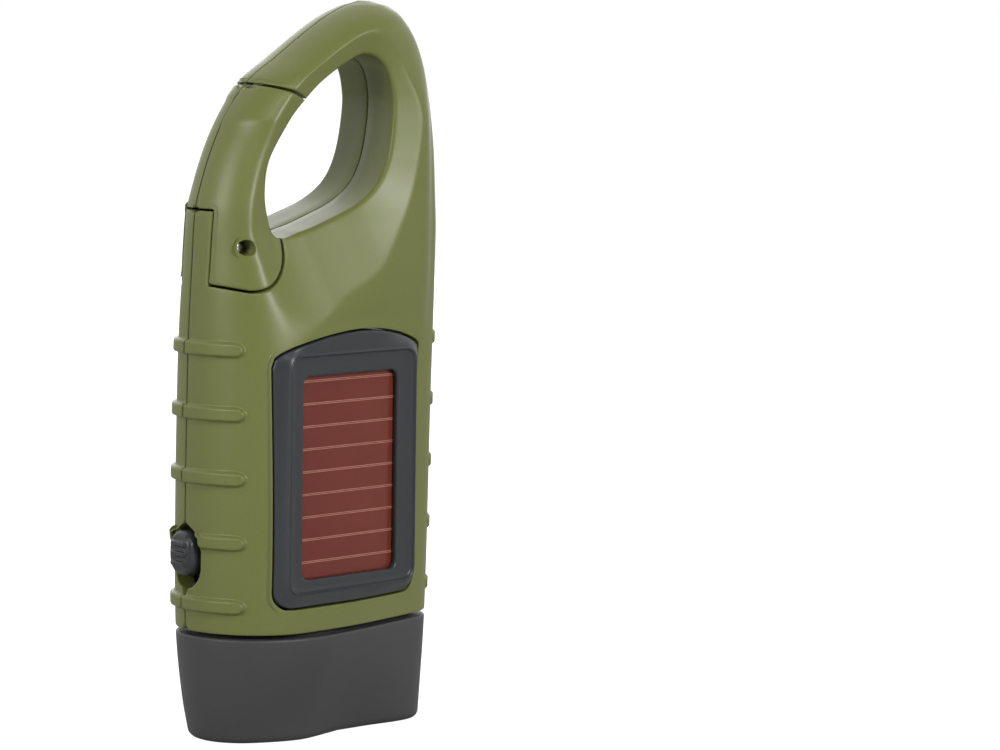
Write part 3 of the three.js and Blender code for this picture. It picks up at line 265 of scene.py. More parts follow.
# Where the maker's frame lies in the model's
_low, _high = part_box("gate_pin")
SHIFT = (np.array(_low) + np.array(_high)) / 2 - np.array((PIN[0], 0.0, PIN[1])) / 1000


def to_frame(points):
    """Millimetres of the maker's frame as metres of the model's."""
    return np.asarray(points, float) / 1000 + SHIFT


def table(rows, at):
    """Smooth value between rows: a cubic with the slope at each row taken from its neighbours."""
    rows = np.asarray(rows, float)
    x, v = rows[:, 0], rows[:, 1]
    last = len(x) - 1
    before = np.maximum(np.arange(len(x)) - 1, 0)
    after = np.minimum(np.arange(len(x)) + 1, last)
    slope = (v[after] - v[before]) / (x[after] - x[before])
    i = np.clip(np.searchsorted(x, at, side="left") - 1, 0, last - 1)
    width = x[i + 1] - x[i]
    t = (at - x[i]) / width
    q = 1 - t
    return ((1 + 2 * t) * q * q * v[i] + t * q * q * width * slope[i]
            + t * t * (3 - 2 * t) * v[i + 1] - t * t * q * width * slope[i + 1])


def least(a, b, blend=SECTION_SOFT):
    """The smaller of two values, with a soft change between them."""
    return -blend * np.logaddexp(-a / blend, -b / blend)


def section(z, angle, grow, side):
    """Point of the body's section: the smooth hull of three circles. Its support is
    h(a) = blend * log sum exp(g / blend) with g = c cos a + r, and the point is
    x = h cos a - h' sin a, y = h sin a + h' cos a. Below the head seam y is drawn in at the waist."""
    level = z / BODY_LENGTH
    left = HALF_WIDTH * table(SWITCH_SIDE, level)
    right = HALF_WIDTH * table(SPINE_SIDE, level)
    half = (right - left) / 2
    front = least(half, FRONT_NOSE_RADIUS * table(FRONT_NOSE, level))
    rear = least(half, REAR_NOSE_RADIUS * table(REAR_NOSE, level))
    nose = np.where(np.asarray(side) > 0, rear, front)
    middle = least(half, BELLY_RADIUS * np.where(np.asarray(side) > 0, table(BELLY, level),
                                                 table(BELLY_FRONT, level)))
    spine = least(half, SPINE_NOSE_RADIUS * table(SPINE_NOSE, level))
    centre = np.stack([left + nose, np.clip(BELLY_X, left + middle, right - middle), right - spine])
    cos, sin = np.cos(angle), np.sin(angle)
    g = centre * cos + np.stack([nose, middle, spine])
    top = g.max(0)
    weight = np.exp((g - top) / SECTION_BLEND)
    total = weight.sum(0)
    height = top + SECTION_BLEND * np.log(total) + grow
    rate = -(weight / total * sin * centre).sum(0)
    share = np.where(z < HEAD_HEIGHT, WAIST_SHARE * np.clip(1 - z / HEAD_HEIGHT, 0, 1) ** WAIST_POWER, 0)
    x = height * cos - rate * sin
    y = height * sin + rate * cos
    return x, y * (1 - share * np.exp(-((x - WAIST_X) / WAIST_SPAN) ** 2))


def ring_outline(steps=480):
    """Closed centripetal Catmull-Rom curve through the ring hole's marks, as (x, z)."""
    marks = np.array([(x * HALF_WIDTH, z * BODY_LENGTH) for x, z in RING_MARKS])
    t = np.arange(steps) / steps * len(marks)
    i = t.astype(int)
    t = (t - i)[:, None]
    p0, p1, p2, p3 = (marks[(i + k) % len(marks)] for k in (-1, 0, 1, 2))
    d0, d1, d2 = (np.linalg.norm(b - a, axis=1, keepdims=True) ** 0.5
                  for a, b in ((p0, p1), (p1, p2), (p2, p3)))
    m1 = ((p1 - p0) / d0 - (p2 - p0) / (d0 + d1) + (p2 - p1) / d1) * d1
    m2 = ((p2 - p1) / d1 - (p3 - p1) / (d1 + d2) + (p3 - p2) / d2) * d1
    return ((2 * t ** 3 - 3 * t ** 2 + 1) * p1 + (t ** 3 - 2 * t ** 2 + t) * m1
            + (3 * t ** 2 - 2 * t ** 3) * p2 + (t ** 3 - t ** 2) * m2)


RING = ring_outline()


def nearest(points, marks, chunk=4000):
    """Distance from each 2D point to the nearest mark."""
    out = [np.sqrt(((points[i:i + chunk, None] - marks[None]) ** 2).sum(2).min(1))
           for i in range(0, len(points), chunk)]
    return np.concatenate(out) if out else np.zeros(0)


def inside(points, loop, chunk=4000):
    """Even-odd test of 2D points against a closed loop."""
    a, b = loop, np.roll(loop, -1, axis=0)
    rise = np.where(np.abs(b[:, 1] - a[:, 1]) < 1e-12, 1e-12, b[:, 1] - a[:, 1])
    out = []
    for i in range(0, len(points), chunk):
        p = points[i:i + chunk]
        spans = (a[None, :, 1] > p[:, None, 1]) != (b[None, :, 1] > p[:, None, 1])
        cross = a[None, :, 0] + (p[:, None, 1] - a[None, :, 1]) * ((b - a)[None, :, 0] / rise[None])
        out.append((spans & (p[:, None, 0] < cross)).sum(1) % 2 == 1)
    return np.concatenate(out)


def smooth_step(t):
    """0 below 0, 1 above 1 and t^2 (3 - 2t) between."""
    t = np.clip(t, 0, 1)
    return t * t * (3 - 2 * t)


def ramp(value, start, stop):
    """0 at start, 1 at stop and smooth between. stop may lie below start."""
    return smooth_step((value - start) / (stop - start))


def stadium_distance(x, z):
    """Distance from the knob rest's middle line."""
    along = np.clip(x - KNOB_X, 0, CUP_REACH)
    return np.hypot(x - KNOB_X - along, z - KNOB_Z)


def front_form(x, y, z):
    """y of the solar half: a fuller shoulder, then the flat face round the panel, then the scoop,
    whose border stands the higher the farther it lies from the ring hole."""
    away = np.full(z.shape, SCOOP_NONE)
    upper = z > SCOOP_LOW_Z
    away[upper] = nearest(np.stack([x[upper], z[upper]], 1), RING)
    y = y + (SHOULDER * ramp(x, *SHOULDER_X) * ramp(x, *SHOULDER_SPINE_X)
             * ramp(z, *SHOULDER_Z) * ramp(z, *SHOULDER_TOP_Z))
    face = (-PANEL_Y + FACE_EASE - (x - PANEL_X) * math.tan(PANEL_ANGLE)
            + FACE_TOP_SLOPE * np.maximum(z - FACE_TOP_Z, 0))
    y = least(y, face, FACE_BLEND)
    on_gate = ramp(x, *GATE_SIDE_X) * ramp(z, *GATE_SIDE_Z)
    edge = np.interp(z, *np.transpose(SCOOP_EDGES)) * (1 - on_gate) + GATE_EDGE * on_gate
    slope = SCOOP_SLOPE + (GATE_SLOPE - SCOOP_SLOPE) * on_gate
    return least(y, edge + slope * away, SCOOP_BLEND + SCOOP_SOFTER * ramp(x, *SCOOP_SOFTER_X))


def rear_form(x, y, z):
    """y of the crank half: the flaring rim of the knob rest rises out of the surface."""
    apart = stadium_distance(x, z) - CUP_RADIUS
    rim = CUP_RIM_Y - CUP_RIM_DROP + CUP_FLARE * least(-apart, 0 * apart, CUP_FLARE_EASE)
    return np.where(apart < CUP_SPREAD, -least(-y, -rim, CUP_BLEND), y)


class Skin:
    """One half of the body's surface. A point is named by p, the share of the half section's
    length from the switch side to the spine, and z. side is 1 for the crank half, -1 for the solar."""

    def __init__(self, side, rib_height):
        self.side, self.rib_height = side, rib_height
        self.rows = np.concatenate([np.arange(HEAD_HEIGHT - GRID_STEP, CROWN_FINE, 0.4),
                                    CROWN - np.linspace((CROWN - CROWN_FINE) ** 0.5, 0, 40) ** 2])
        fine = np.linspace(math.pi, 0, 1441)
        z = np.repeat(self.rows[:, None], len(fine), 1)
        x, y = section(z, np.broadcast_to(fine, z.shape), 0.0, self.side)
        run = np.concatenate([np.zeros((len(z), 1)), np.cumsum(np.hypot(np.diff(x), np.diff(y)), 1)], 1)
        self.span = run[:, -1]
        self.p = np.linspace(0, 1, 601)
        self.angles = np.array([np.interp(self.p, r / r[-1], fine) for r in run])
        self.x = np.array([np.interp(self.p, r / r[-1], v) for r, v in zip(run, x)])
        self.y = np.array([np.interp(self.p, r / r[-1], v) for r, v in zip(run, y)])

    def row(self, z):
        """The row below each height and the share of the way to the next."""
        i = np.clip(np.searchsorted(self.rows, z) - 1, 0, len(self.rows) - 2)
        return i, np.clip((z - self.rows[i]) / (self.rows[i + 1] - self.rows[i]), 0, 1)

    def length(self, z):
        """The half section's length at these heights."""
        return np.interp(z, self.rows, self.span)

    def angle(self, p, z):
        """The section's angle at each place."""
        i, f = self.row(z)
        at = np.clip(p, 0, 1) * (len(self.p) - 1)
        j = np.clip(at.astype(int), 0, len(self.p) - 2)
        g = at - j
        a = self.angles
        return ((a[i, j] * (1 - g) + a[i, j + 1] * g) * (1 - f)
                + (a[i + 1, j] * (1 - g) + a[i + 1, j + 1] * g) * f)

    def _inverse(self, values, wanted, z, columns):
        """The share p at which the rising values reach the wanted one, within these columns."""
        i, f = self.row(z)
        line = values[i][:, columns] * (1 - f)[:, None] + values[i + 1][:, columns] * f[:, None]
        j = np.clip((line < wanted[:, None]).sum(1) - 1, 0, line.shape[1] - 2)
        k = np.arange(len(wanted))
        low, high = line[k, j], line[k, j + 1]
        g = np.clip((wanted - low) / np.maximum(high - low, 1e-9), 0, 1)
        steps = self.p[columns]
        return steps[j] + (steps[j + 1] - steps[j]) * g

    def p_at_x(self, x, z):
        """The share p of the plain section at these x."""
        x, z = np.broadcast_arrays(np.asarray(x, float), np.asarray(z, float))
        return self._inverse(self.x, x, z, np.arange(len(self.p)))

    def p_at_y(self, y, z, spine=False):
        """The share p of the plain section at these y, on the switch side or the spine's."""
        y, z = np.broadcast_arrays(np.asarray(y, float), np.asarray(z, float))
        half = len(self.p) // 2 + 1
        columns = np.arange(len(self.p))[::-1][:half] if spine else np.arange(half)
        return self._inverse(np.maximum.accumulate(self.y, 1) if not spine
                             else np.maximum.accumulate(self.y[:, ::-1], 1)[:, ::-1], y, z, columns)

    def ribs(self, x, y, z):
        """Height of the grip ribs: a rounded band round each level with half-round ends."""
        level = np.min([np.abs(z - at) for at in RIB_LEVELS], axis=0)
        end = np.where(x < 0, x - RIB_END_X[self.side], np.abs(y) - RIB_END_Y)
        apart = np.hypot(np.maximum(end + RIB_HALF, 0), level)
        height = np.where(x < 0, self.rib_height, self.rib_height * RIB_SPINE_SHARE)
        return np.where(z < RIB_TOP, height * smooth_step((RIB_HALF - apart) / RIB_EASE), 0)

    def point(self, p, z):
        """Surface point with the ribs and the half's own forms."""
        p, z = np.broadcast_arrays(np.asarray(p, float), np.asarray(z, float))
        angle = self.angle(p, z)
        x, y = section(z, angle, 0.0, self.side)
        grow = self.ribs(x, y, z)
        x, y = x + grow * np.cos(angle), y + grow * np.sin(angle)
        y = front_form(x, y, z) if self.side < 0 else rear_form(x, y, z)
        return np.stack([x, self.side * np.maximum(y, 0), z], -1)


SKINS = {}


def skin(side, rib_height=0.9):
    if (side, rib_height) not in SKINS:
        SKINS[side, rib_height] = Skin(side, rib_height)
    return SKINS[side, rib_height]


def seam_p(surface, z, spine=False):
    """Where the surface stands RIM_Y off the parting plane, on the switch side or the spine."""
    return surface.p_at_y(np.full_like(np.asarray(z, float), RIM_Y), z, spine)


class Outline:
    """A closed edge of one half skin. The material lies on its left, with x to the right and z up.
    Each vertex has its place (p, z), the direction of its wall, the radius of its lip and the
    depth of its wall. Seam vertices stand RIM_Y off the parting plane and turn in to it."""

    def __init__(self, surface):
        self.surface = surface
        self.parts = []

    def cut(self, p, z, wall, lip, depth):
        """A stretch cut through the skin. wall is one direction or one for each vertex."""
        p, z = np.broadcast_arrays(np.asarray(p, float), np.asarray(z, float))
        n = len(p)
        self.parts.append(dict(seam=np.zeros(n, bool), p=p, z=z, wall=np.broadcast_to(wall, (n, 3)),
                               lip=np.broadcast_to(lip, n), depth=np.broadcast_to(depth, n),
                               out=np.zeros((n, 3))))
        return self

    def plan(self, points, lip):
        """A stretch cut straight along y, given by (x, z), down to the parting plane."""
        points = np.asarray(points, float)
        p = self.surface.p_at_x(points[:, 0], points[:, 1])
        y = np.abs(self.surface.point(p, points[:, 1])[:, 1])
        lip = np.minimum(lip, y * LIP_DEPTH_SHARE)
        depth = np.maximum(y - SEAM_Y, LEAST_WALL)
        return self.cut(p, points[:, 1], (0, -self.surface.side, 0), lip, depth)

    def side_cut(self, y, z, lip=POST_LIP, depth=POST_WALL):
        """A stretch cut straight along x from the switch side, given by its y and z."""
        y, z = np.broadcast_arrays(np.asarray(y, float), np.asarray(z, float))
        return self.cut(self.surface.p_at_y(y, z), z, (1, 0, 0), lip, depth)

    def seam(self, z, spine, across=None):
        """A stretch along the parting plane at the heights z, or across the crown at one height."""
        s = self.surface
        z = np.asarray(z, float)
        if across is None:
            p = seam_p(s, z, spine)
            ends = np.full_like(z, 1.0 if spine else 0.0)
            out = s.point(ends, z)
        else:
            p = across
            out = s.point(p, z)
            out[:, 2] = out[:, 2] + (CROWN - out[:, 2]) * CROWN_RISE_SHARE
        out = out * (1, 0, 1) + np.array((0, s.side * SEAM_Y, 0))
        n = len(z)
        self.parts.append(dict(seam=np.ones(n, bool), p=p, z=z, wall=np.zeros((n, 3)), lip=np.zeros(n),
                               depth=np.zeros(n), out=out))
        return self

    def close(self):
        """The top points (p, z) and one column of 3D points for each vertex, from the surface over
        a rounded lip B(t) = (1-t)^2 T + 2t(1-t) E + t^2 (E + lip W), down the wall and in at its foot."""
        s = self.surface
        joined = {k: np.concatenate([part[k] for part in self.parts]) for k in self.parts[0]}
        p, z, seam = joined["p"], joined["z"], joined["seam"]
        flat = np.stack([p * s.length(z), z], 1)
        step = np.roll(flat, -1, axis=0) - flat
        step /= np.maximum(np.linalg.norm(step, axis=1, keepdims=True), 1e-9)
        after = np.stack([-step[:, 1], step[:, 0]], 1)
        before = np.roll(after, 1, axis=0)
        starts, ends = ~seam & np.roll(seam, 1), ~seam & np.roll(seam, -1)
        before = np.where(starts[:, None], after, before)
        after = np.where(ends[:, None], before, after)
        turns = (before * after).sum(1)
        run = np.concatenate([[0], np.cumsum(np.linalg.norm(np.diff(flat, axis=0), axis=1))])
        corners = run[turns < SHARP_TURN]
        if len(corners):
            reach = np.abs(run[:, None] - corners[None]).min(1)
            joined["lip"] = np.minimum(joined["lip"], CORNER_LIP + CORNER_LIP_SLOPE * reach)
        mitre = (before + after) / np.maximum(1 + turns[:, None], MITRE_LIMIT)
        top_p = p + mitre[:, 0] * joined["lip"] / s.length(z)
        top_z = z + mitre[:, 1] * joined["lip"]
        on_rim = starts | ends
        if on_rim.any():
            switch = seam_p(s, top_z[on_rim])
            spine = seam_p(s, top_z[on_rim], True)
            top_p[on_rim] = np.where(p[on_rim] < 0.5, switch, spine)
        top = s.point(top_p, top_z)
        edge = s.point(p, z)
        wall, lip, depth = joined["wall"], joined["lip"][:, None], joined["depth"][:, None]
        plan = np.roll(edge, -1, axis=0) - np.roll(edge, 1, axis=0)
        inward = np.stack([-plan[:, 2], 0 * plan[:, 0], plan[:, 0]], 1)
        inward /= np.maximum(np.linalg.norm(inward, axis=1, keepdims=True), 1e-9)
        inward = np.where(np.abs(wall[:, 1:2]) > 0.9, inward, wall)
        rows = []
        for t in np.linspace(0, 1, 6)[1:]:
            rows.append((1 - t) ** 2 * top + 2 * t * (1 - t) * edge + t * t * (edge + lip * wall))
        for t in (0.35, 0.7, 1.0):
            rows.append(edge + wall * (lip + (depth - lip - FOOT) * t))
        for t in (0.5, 1.0):
            rows.append(edge + wall * (depth - FOOT + FOOT * t * (2 - t)) + inward * FOOT * t * t)
        columns = np.stack(rows, 1)
        if seam.any():
            out = joined["out"][seam]
            start, n = top[seam], len(rows)
            path = np.where(seam[:, None], joined["out"], edge)
            flow = np.roll(path, -1, axis=0) - np.roll(path, 1, axis=0)
            into = np.stack([-flow[:, 2], 0 * flow[:, 0], flow[:, 0]], 1)[seam]
            into /= np.maximum(np.linalg.norm(into, axis=1, keepdims=True), 1e-9)
            edge_cols = []
            for k in range(n):
                t = (k + 1) / n
                bend = max(0.0, (t - SEAM_TURN) / (1 - SEAM_TURN))
                share = min(1, t / SEAM_TURN)
                along = start + (out - start) * np.array((share, 1, share))
                along[:, 1] = start[:, 1] + (out[:, 1] - start[:, 1]) * (1 - (1 - t) ** SEAM_EASE)
                edge_cols.append(along + into * FOOT * bend ** 2)
            columns[seam] = np.stack(edge_cols, 1)
        return np.stack([top_p, top_z], 1), columns


def triangulated(loops, inner=()):
    """Triangles between a closed outline and the holes in it, through the inner points, and the
    places where edges cross. There the nearest point stands in."""
    flat = np.concatenate([*loops, *inner])
    edges, start = [], 0
    for loop in loops:
        n = len(loop)
        edges += [(start + i, start + (i + 1) % n) for i in range(n)]
        start += n
    verts, _, faces, origin, _, _ = delaunay_2d_cdt([tuple(v) for v in flat], edges, [], 0, 1e-7, True)
    crossings = [tuple(v) for v, o in zip(verts, origin) if not o]
    source = np.array([o[0] if o else np.linalg.norm(flat - tuple(v), axis=1).argmin()
                       for v, o in zip(verts, origin)])
    faces = source[np.array(faces)]
    middle = flat[faces].mean(1)
    keep = inside(middle, loops[0]) & (faces != np.roll(faces, 1, axis=1)).all(1)
    for loop in loops[1:]:
        keep[keep] = ~inside(middle[keep], loop)
    return faces[keep], crossings


def half_mesh(surface, outline, holes, rows, across, patches=()):
    """Mesh of a half skin: the surface sampled on rows z and `across` shares p, triangulated
    between the outline's and the holes' top points, with their columns hung on it.
    Each hole is (top points, columns, floor rings). patches are (p, z) arrays of closer grids."""
    scale = np.array((SPREAD_P, 1.0))
    loops = [outline] + [(h[0], h[1]) for h in holes]
    tops = [loop[0] * scale for loop in loops]
    boundary = np.concatenate([loop[0] for loop in loops])
    grid = np.stack(np.meshgrid(across, rows), -1).reshape(-1, 2)
    for fine in patches:
        (left, right), (low, high) = ((v[0], v[-1]) for v in fine)
        patch = (grid[:, 0] > left) & (grid[:, 0] < right) & (grid[:, 1] > low) & (grid[:, 1] < high)
        grid = np.concatenate([grid[~patch], np.stack(np.meshgrid(*fine), -1).reshape(-1, 2)])
    shown = inside(grid * scale, tops[0])
    for top in tops[1:]:
        shown[shown] = ~inside(grid[shown] * scale, top)
    grid = grid[shown]
    flat_grid, flat_edge = (np.stack([q[:, 0] * surface.length(q[:, 1]), q[:, 1]], 1)
                            for q in (grid, boundary))
    grid = grid[nearest(flat_grid, flat_edge) > GRID_GAP]
    faces, crossings = triangulated(tops, [grid * scale])
    if crossings:
        at = np.array(crossings) / scale
        where = np.round(surface.point(at[:, 0], at[:, 1]), 2).tolist()
        raise RuntimeError(f"edges of the skin cross at {where}")
    flat = np.concatenate([boundary, grid])
    points = [surface.point(flat[:, 0], flat[:, 1])]
    quads = []
    count, start = len(flat), 0
    for (top, columns), extra in zip(loops, [[]] + [h[2] for h in holes]):
        n = len(top)
        rings = [columns[:, k] for k in range(columns.shape[1])] + list(extra)
        last = start + np.arange(n)
        for ring in rings:
            points.append(ring)
            this = count + np.arange(n)
            quads.append(np.stack([last, this, np.roll(this, -1), np.roll(last, -1)], 1))
            last, count = this, count + n
        start += n
    points, quads = np.concatenate(points), np.concatenate(quads)
    if surface.side > 0:
        faces, quads = faces[:, ::-1], quads[:, ::-1]
    return points, faces, quads


def mesh_object(name, points, *face_sets):
    """An object with its place in its mesh, from points in millimetres and arrays of faces."""
    mesh = bpy.data.meshes.new(name)
    faces = [f for faces in face_sets for f in np.asarray(faces).tolist()]
    mesh.from_pydata(to_frame(points).tolist(), [], faces)
    mesh.validate()
    mesh.shade_smooth()
    obj = bpy.data.objects.new(name, mesh)
    bpy.context.scene.collection.objects.link(obj)
    return obj


def join_halves(*halves):
    """Points and faces of several meshes as one."""
    points, tris, quads, count = [], [], [], 0
    for p, t, q in halves:
        points.append(p)
        tris.append(np.asarray(t) + count)
        quads.append(np.asarray(q) + count)
        count += len(p)
    return np.concatenate(points), np.concatenate(tris), np.concatenate(quads)


def sample_rows(low, high, step=GRID_STEP):
    """Heights of the skin's rows, closer at the ribs and towards the crown."""
    rows = [np.arange(low, min(high, CROWN_LOW), step)]
    for level in RIB_LEVELS:
        rows += [level + s * np.array(RIB_ROWS) for s in (-1, 1)]
    if high > CROWN_LOW:
        rows.append(high - np.linspace((high - CROWN_LOW) ** 0.5, 0.05, 22) ** 2)
    rows = np.sort(np.concatenate(rows))
    rows = rows[(rows >= low) & (rows <= high)]
    return rows[np.concatenate([[True], np.diff(rows) > 0.12])]


def arc(centre, radius, start, stop, step=0.5):
    """Points of an arc in plan, angles in degrees from +x towards +z."""
    n = max(3, int(abs(math.radians(stop - start)) * radius / step))
    a = np.radians(np.linspace(start, stop, n + 1))
    return np.stack([centre[0] + radius * np.cos(a), centre[1] + radius * np.sin(a)], 1)


def line(a, b, step=0.5):
    """Points from a to b in plan."""
    n = max(2, int(math.dist(a, b) / step))
    return np.linspace(a, b, n + 1)


def ring_run(first, last):
    """RING's points from index first to last, going up through the indices and round."""
    n = (last - first) % len(RING)
    return RING[(first + np.arange(n + 1)) % len(RING)]


def bearing(mark):
    """Direction from the gate's pin to one of RING's points, in degrees."""
    return math.degrees(math.atan2(RING[mark][1] - PIN[1], RING[mark][0] - PIN[0]))


def tip_cut(surface, mark, radius):
    """The cut at the gate's tip: an arc about the pin from RING's point out to the outer flank."""
    start = bearing(mark)
    points = arc(PIN, radius, start, start + TIP_SWEEP)
    flank = surface.point(seam_p(surface, points[:, 1]), points[:, 1])[:, 0]
    return points[points[:, 0] > flank + 0.05]


def heel_cut(surface, gap, half):
    """The cut under the gate's heel, from below the pin out to the notch of that half width."""
    points = line((PIN[0], PIN[1] - KNUCKLE_RADIUS - gap), (HEEL_REACH_X, HEEL_Z - gap))
    p = surface.p_at_y(np.full(len(points), half), points[:, 1])
    return points[points[:, 0] > surface.point(p, points[:, 1])[:, 0] + CUT_CLEAR]


def slot_outline():
    """The switch slot as y and z: from its point down the slanted edge, the side and the round end."""
    slant, turn = np.linspace(RIM_Y, SLOT_HALF, 8), np.linspace(0, math.acos(RIM_Y / SLOT_HALF), 14)[1:]
    middle = SLOT_LOW + SLOT_HALF
    side = np.linspace(SLOT_TOP - SLOT_POINT, middle, 10)[1:]
    return (np.concatenate([slant, np.full(len(side), SLOT_HALF), SLOT_HALF * np.cos(turn)]),
            np.concatenate([SLOT_TOP - SLOT_POINT * slant / SLOT_HALF, side,
                            middle - SLOT_HALF * np.sin(turn)]))


def hook_outline(surface):
    """The shell's edge: head seam, spine, crown, gate tip, ring hole, gate pocket, post and slot."""
    s, side = surface, surface.side
    out = Outline(s)
    low = HEAD_HEIGHT + SEAM_HALF_GAP
    p = np.linspace(seam_p(s, np.array([low]))[0], seam_p(s, np.array([low]), True)[0], 120)
    angle = s.angle(p, np.full_like(p, low))
    radial = -np.stack([np.cos(angle), side * np.sin(angle), 0 * angle], 1)
    out.cut(p, np.full_like(p, low), radial, HEAD_LIP, HEAD_WALL)
    top = s.rows > CROWN_FINE
    crown = float(np.interp(-CROWN_HALF_DEPTH, -s.y.max(1)[top], s.rows[top]))
    out.seam(sample_rows(low + SEAM_CLEAR, crown), True)
    p0, p1 = seam_p(s, np.array([crown]))[0], seam_p(s, np.array([crown]), True)[0]
    across = np.linspace(p1, p0, 12)[1:-1]
    out.seam(np.full_like(across, crown), False, across)
    tip = tip_cut(s, TIP_MARK - 1, GATE_REACH + POCKET_GAP)[::-1]
    out.seam(sample_rows(tip[0, 1] + CUT_CLEAR, crown)[::-1], False)
    out.plan(tip[:-1], LIP)
    out.plan(ring_run(SHELL_LOW_MARK, TIP_MARK - 1)[::-1][::2], RING_LIP)
    out.plan(arc(PIN, KNUCKLE_RADIUS + POCKET_GAP, bearing(SHELL_LOW_MARK), -90)[1:], LIP)
    heel = heel_cut(s, POCKET_GAP, POST_HALF)[1:]
    out.plan(heel, LIP)
    out.side_cut(POST_HALF, np.arange(heel[-1, 1] + 0.1, POST_TOP - 0.2, 0.5))
    out.side_cut(np.arange(POST_HALF, RIM_Y, -0.4), POST_TOP)
    slot_y, slot_z = slot_outline()
    out.seam(sample_rows(slot_z[0] + SEAM_SHORT, POST_TOP - SEAM_SHORT)[::-1], False)
    out.side_cut(slot_y, slot_z, SLOT_LIP, SLOT_WALL)
    out.seam(sample_rows(low + SEAM_CLEAR, slot_z[-1] - SEAM_CLEAR)[::-1], False)
    return out.close()


def gate_outline(surface):
    """The gate's edge: outer flank, post notch, heel, knuckle, ring hole and tip."""
    s = surface
    out = Outline(s)
    tip = tip_cut(s, TIP_MARK, GATE_REACH)
    notch = POST_TOP + NOTCH_GAP
    out.seam(sample_rows(notch + SEAM_SHORT, tip[-1, 1] - 0.5)[::-1], False)
    out.side_cut(np.arange(RIM_Y, FORK_HALF, 0.4), notch)
    heel = heel_cut(s, 0, FORK_HALF)[::-1]
    out.side_cut(FORK_HALF, np.arange(notch - 0.1, heel[0, 1] + 0.1, -0.5))
    for stretch in (heel, arc(PIN, KNUCKLE_RADIUS, -90, bearing(GATE_LOW_MARK))[1:]):
        p = s.p_at_x(stretch[:, 0], stretch[:, 1])
        y = np.abs(s.point(p, stretch[:, 1])[:, 1])
        floor = np.where(stretch[:, 0] > TONGUE_NECK_X + CUT_CLEAR, SEAM_Y, FORK_HALF)
        out.cut(p, stretch[:, 1], (0, -s.side, 0), LIP, y - floor)
    out.plan(ring_run(TIP_MARK, GATE_LOW_MARK)[::-1][::2][1:-1], RING_LIP)
    out.plan(tip, LIP)
    return out.close()


def hole_in(surface, plan, lip, floor, floors=()):
    """A hole cut along y down to the floor's y, from a closed plan outline, clockwise seen with z
    up. floors gives further rings as (share of the outline kept about its centre, y)."""
    s = surface
    out = Outline(s)
    points = np.asarray(plan, float)
    p = s.p_at_x(points[:, 0], points[:, 1])
    y = np.abs(s.point(p, points[:, 1])[:, 1])
    out.cut(p, points[:, 1], (0, -s.side, 0), lip, y - floor)
    top, columns = out.close()
    centre = points.mean(0)
    rings = []
    for share, at in floors:
        ring = np.empty((len(points), 3))
        ring[:, [0, 2]] = centre + (points - centre) * share
        ring[:, 1] = s.side * at
        rings.append(ring)
    return top, columns, rings


def circle(x, z, radius, step=0.5):
    """A circle in plan, clockwise with z up."""
    n = max(20, int(2 * math.pi * radius / step))
    a = -2 * math.pi * np.arange(n) / n
    return np.stack([x + radius * np.cos(a), z + radius * np.sin(a)], 1)


def stadium(radius, step=0.5):
    """The knob rest's outline, clockwise with z up."""
    n = max(10, int(math.pi * radius / step))
    right = np.linspace(math.pi / 2, -math.pi / 2, n)
    left = np.linspace(-math.pi / 2, -3 * math.pi / 2, n)
    m = max(2, int(CUP_REACH / step))
    low = np.linspace(CUP_REACH, 0, m + 1)[1:-1]
    return np.concatenate([
        np.stack([KNOB_X + CUP_REACH + radius * np.cos(right), KNOB_Z + radius * np.sin(right)], 1),
        np.stack([KNOB_X + low, np.full(len(low), KNOB_Z - radius)], 1),
        np.stack([KNOB_X + radius * np.cos(left), KNOB_Z + radius * np.sin(left)], 1),
        np.stack([KNOB_X + low[::-1], np.full(len(low), KNOB_Z + radius)], 1)])


def panel_point(across, height, depth):
    """A point of the solar panel's plane: s across, z up and its depth behind the face."""
    x = PANEL_X + across * math.cos(PANEL_ANGLE) - depth * math.sin(PANEL_ANGLE)
    y = PANEL_Y + across * math.sin(PANEL_ANGLE) + depth * math.cos(PANEL_ANGLE)
    return np.stack(np.broadcast_arrays(x, y, height), -1)


def bezel_outline(grow, step=0.6):
    """The bezel's outline in the panel's plane (s, z), clockwise with z up."""
    left, right, low = BEZEL_LEFT - grow, BEZEL_RIGHT + grow, BEZEL_LOW - grow
    t = np.linspace(0, 1, 70)
    rise = np.sin(math.pi * t) ** np.where(t < 0.5, *ARCH_POWERS)
    shoulder = BEZEL_SHOULDER_LEFT + (BEZEL_SHOULDER_RIGHT - BEZEL_SHOULDER_LEFT) * t
    peak = BEZEL_ARCH - max(BEZEL_SHOULDER_LEFT, BEZEL_SHOULDER_RIGHT)
    arch = np.stack([left + (right - left) * t, shoulder + grow + rise * peak], 1)
    a = np.linspace(0, math.pi / 2, 8)
    cos, sin = BEZEL_CORNER * np.cos(a), BEZEL_CORNER * np.sin(a)
    right_corner = np.stack([right - BEZEL_CORNER + cos, low + BEZEL_CORNER - sin], 1)
    left_corner = np.stack([left + BEZEL_CORNER - sin, low + BEZEL_CORNER - cos], 1)
    return evenly(np.concatenate([arch, right_corner, left_corner]), step)


def skin_depth(s, plan):
    """How far the skin lies behind the panel's plane along its normal, and the share p there."""
    depth = np.zeros(len(plan))
    for _ in range(8):
        at = panel_point(plan[:, 0], plan[:, 1], depth)
        p = s.p_at_x(at[:, 0], at[:, 2])
        y = s.point(p, at[:, 2])[:, 1]
        depth += (y - at[:, 1]) / math.cos(PANEL_ANGLE)
    return depth, p


def bezel_hole(surface):
    """The recess of the solar bezel: its outline carried along the panel's normal to the skin."""
    s = surface
    plan = bezel_outline(BEZEL_GAP)
    depth, p = skin_depth(s, plan)
    inward = np.array((-math.sin(PANEL_ANGLE), math.cos(PANEL_ANGLE), 0))
    return *Outline(s).cut(p, plan[:, 1], inward, BEZEL_LIP, BEZEL_WALL - depth).close(), []


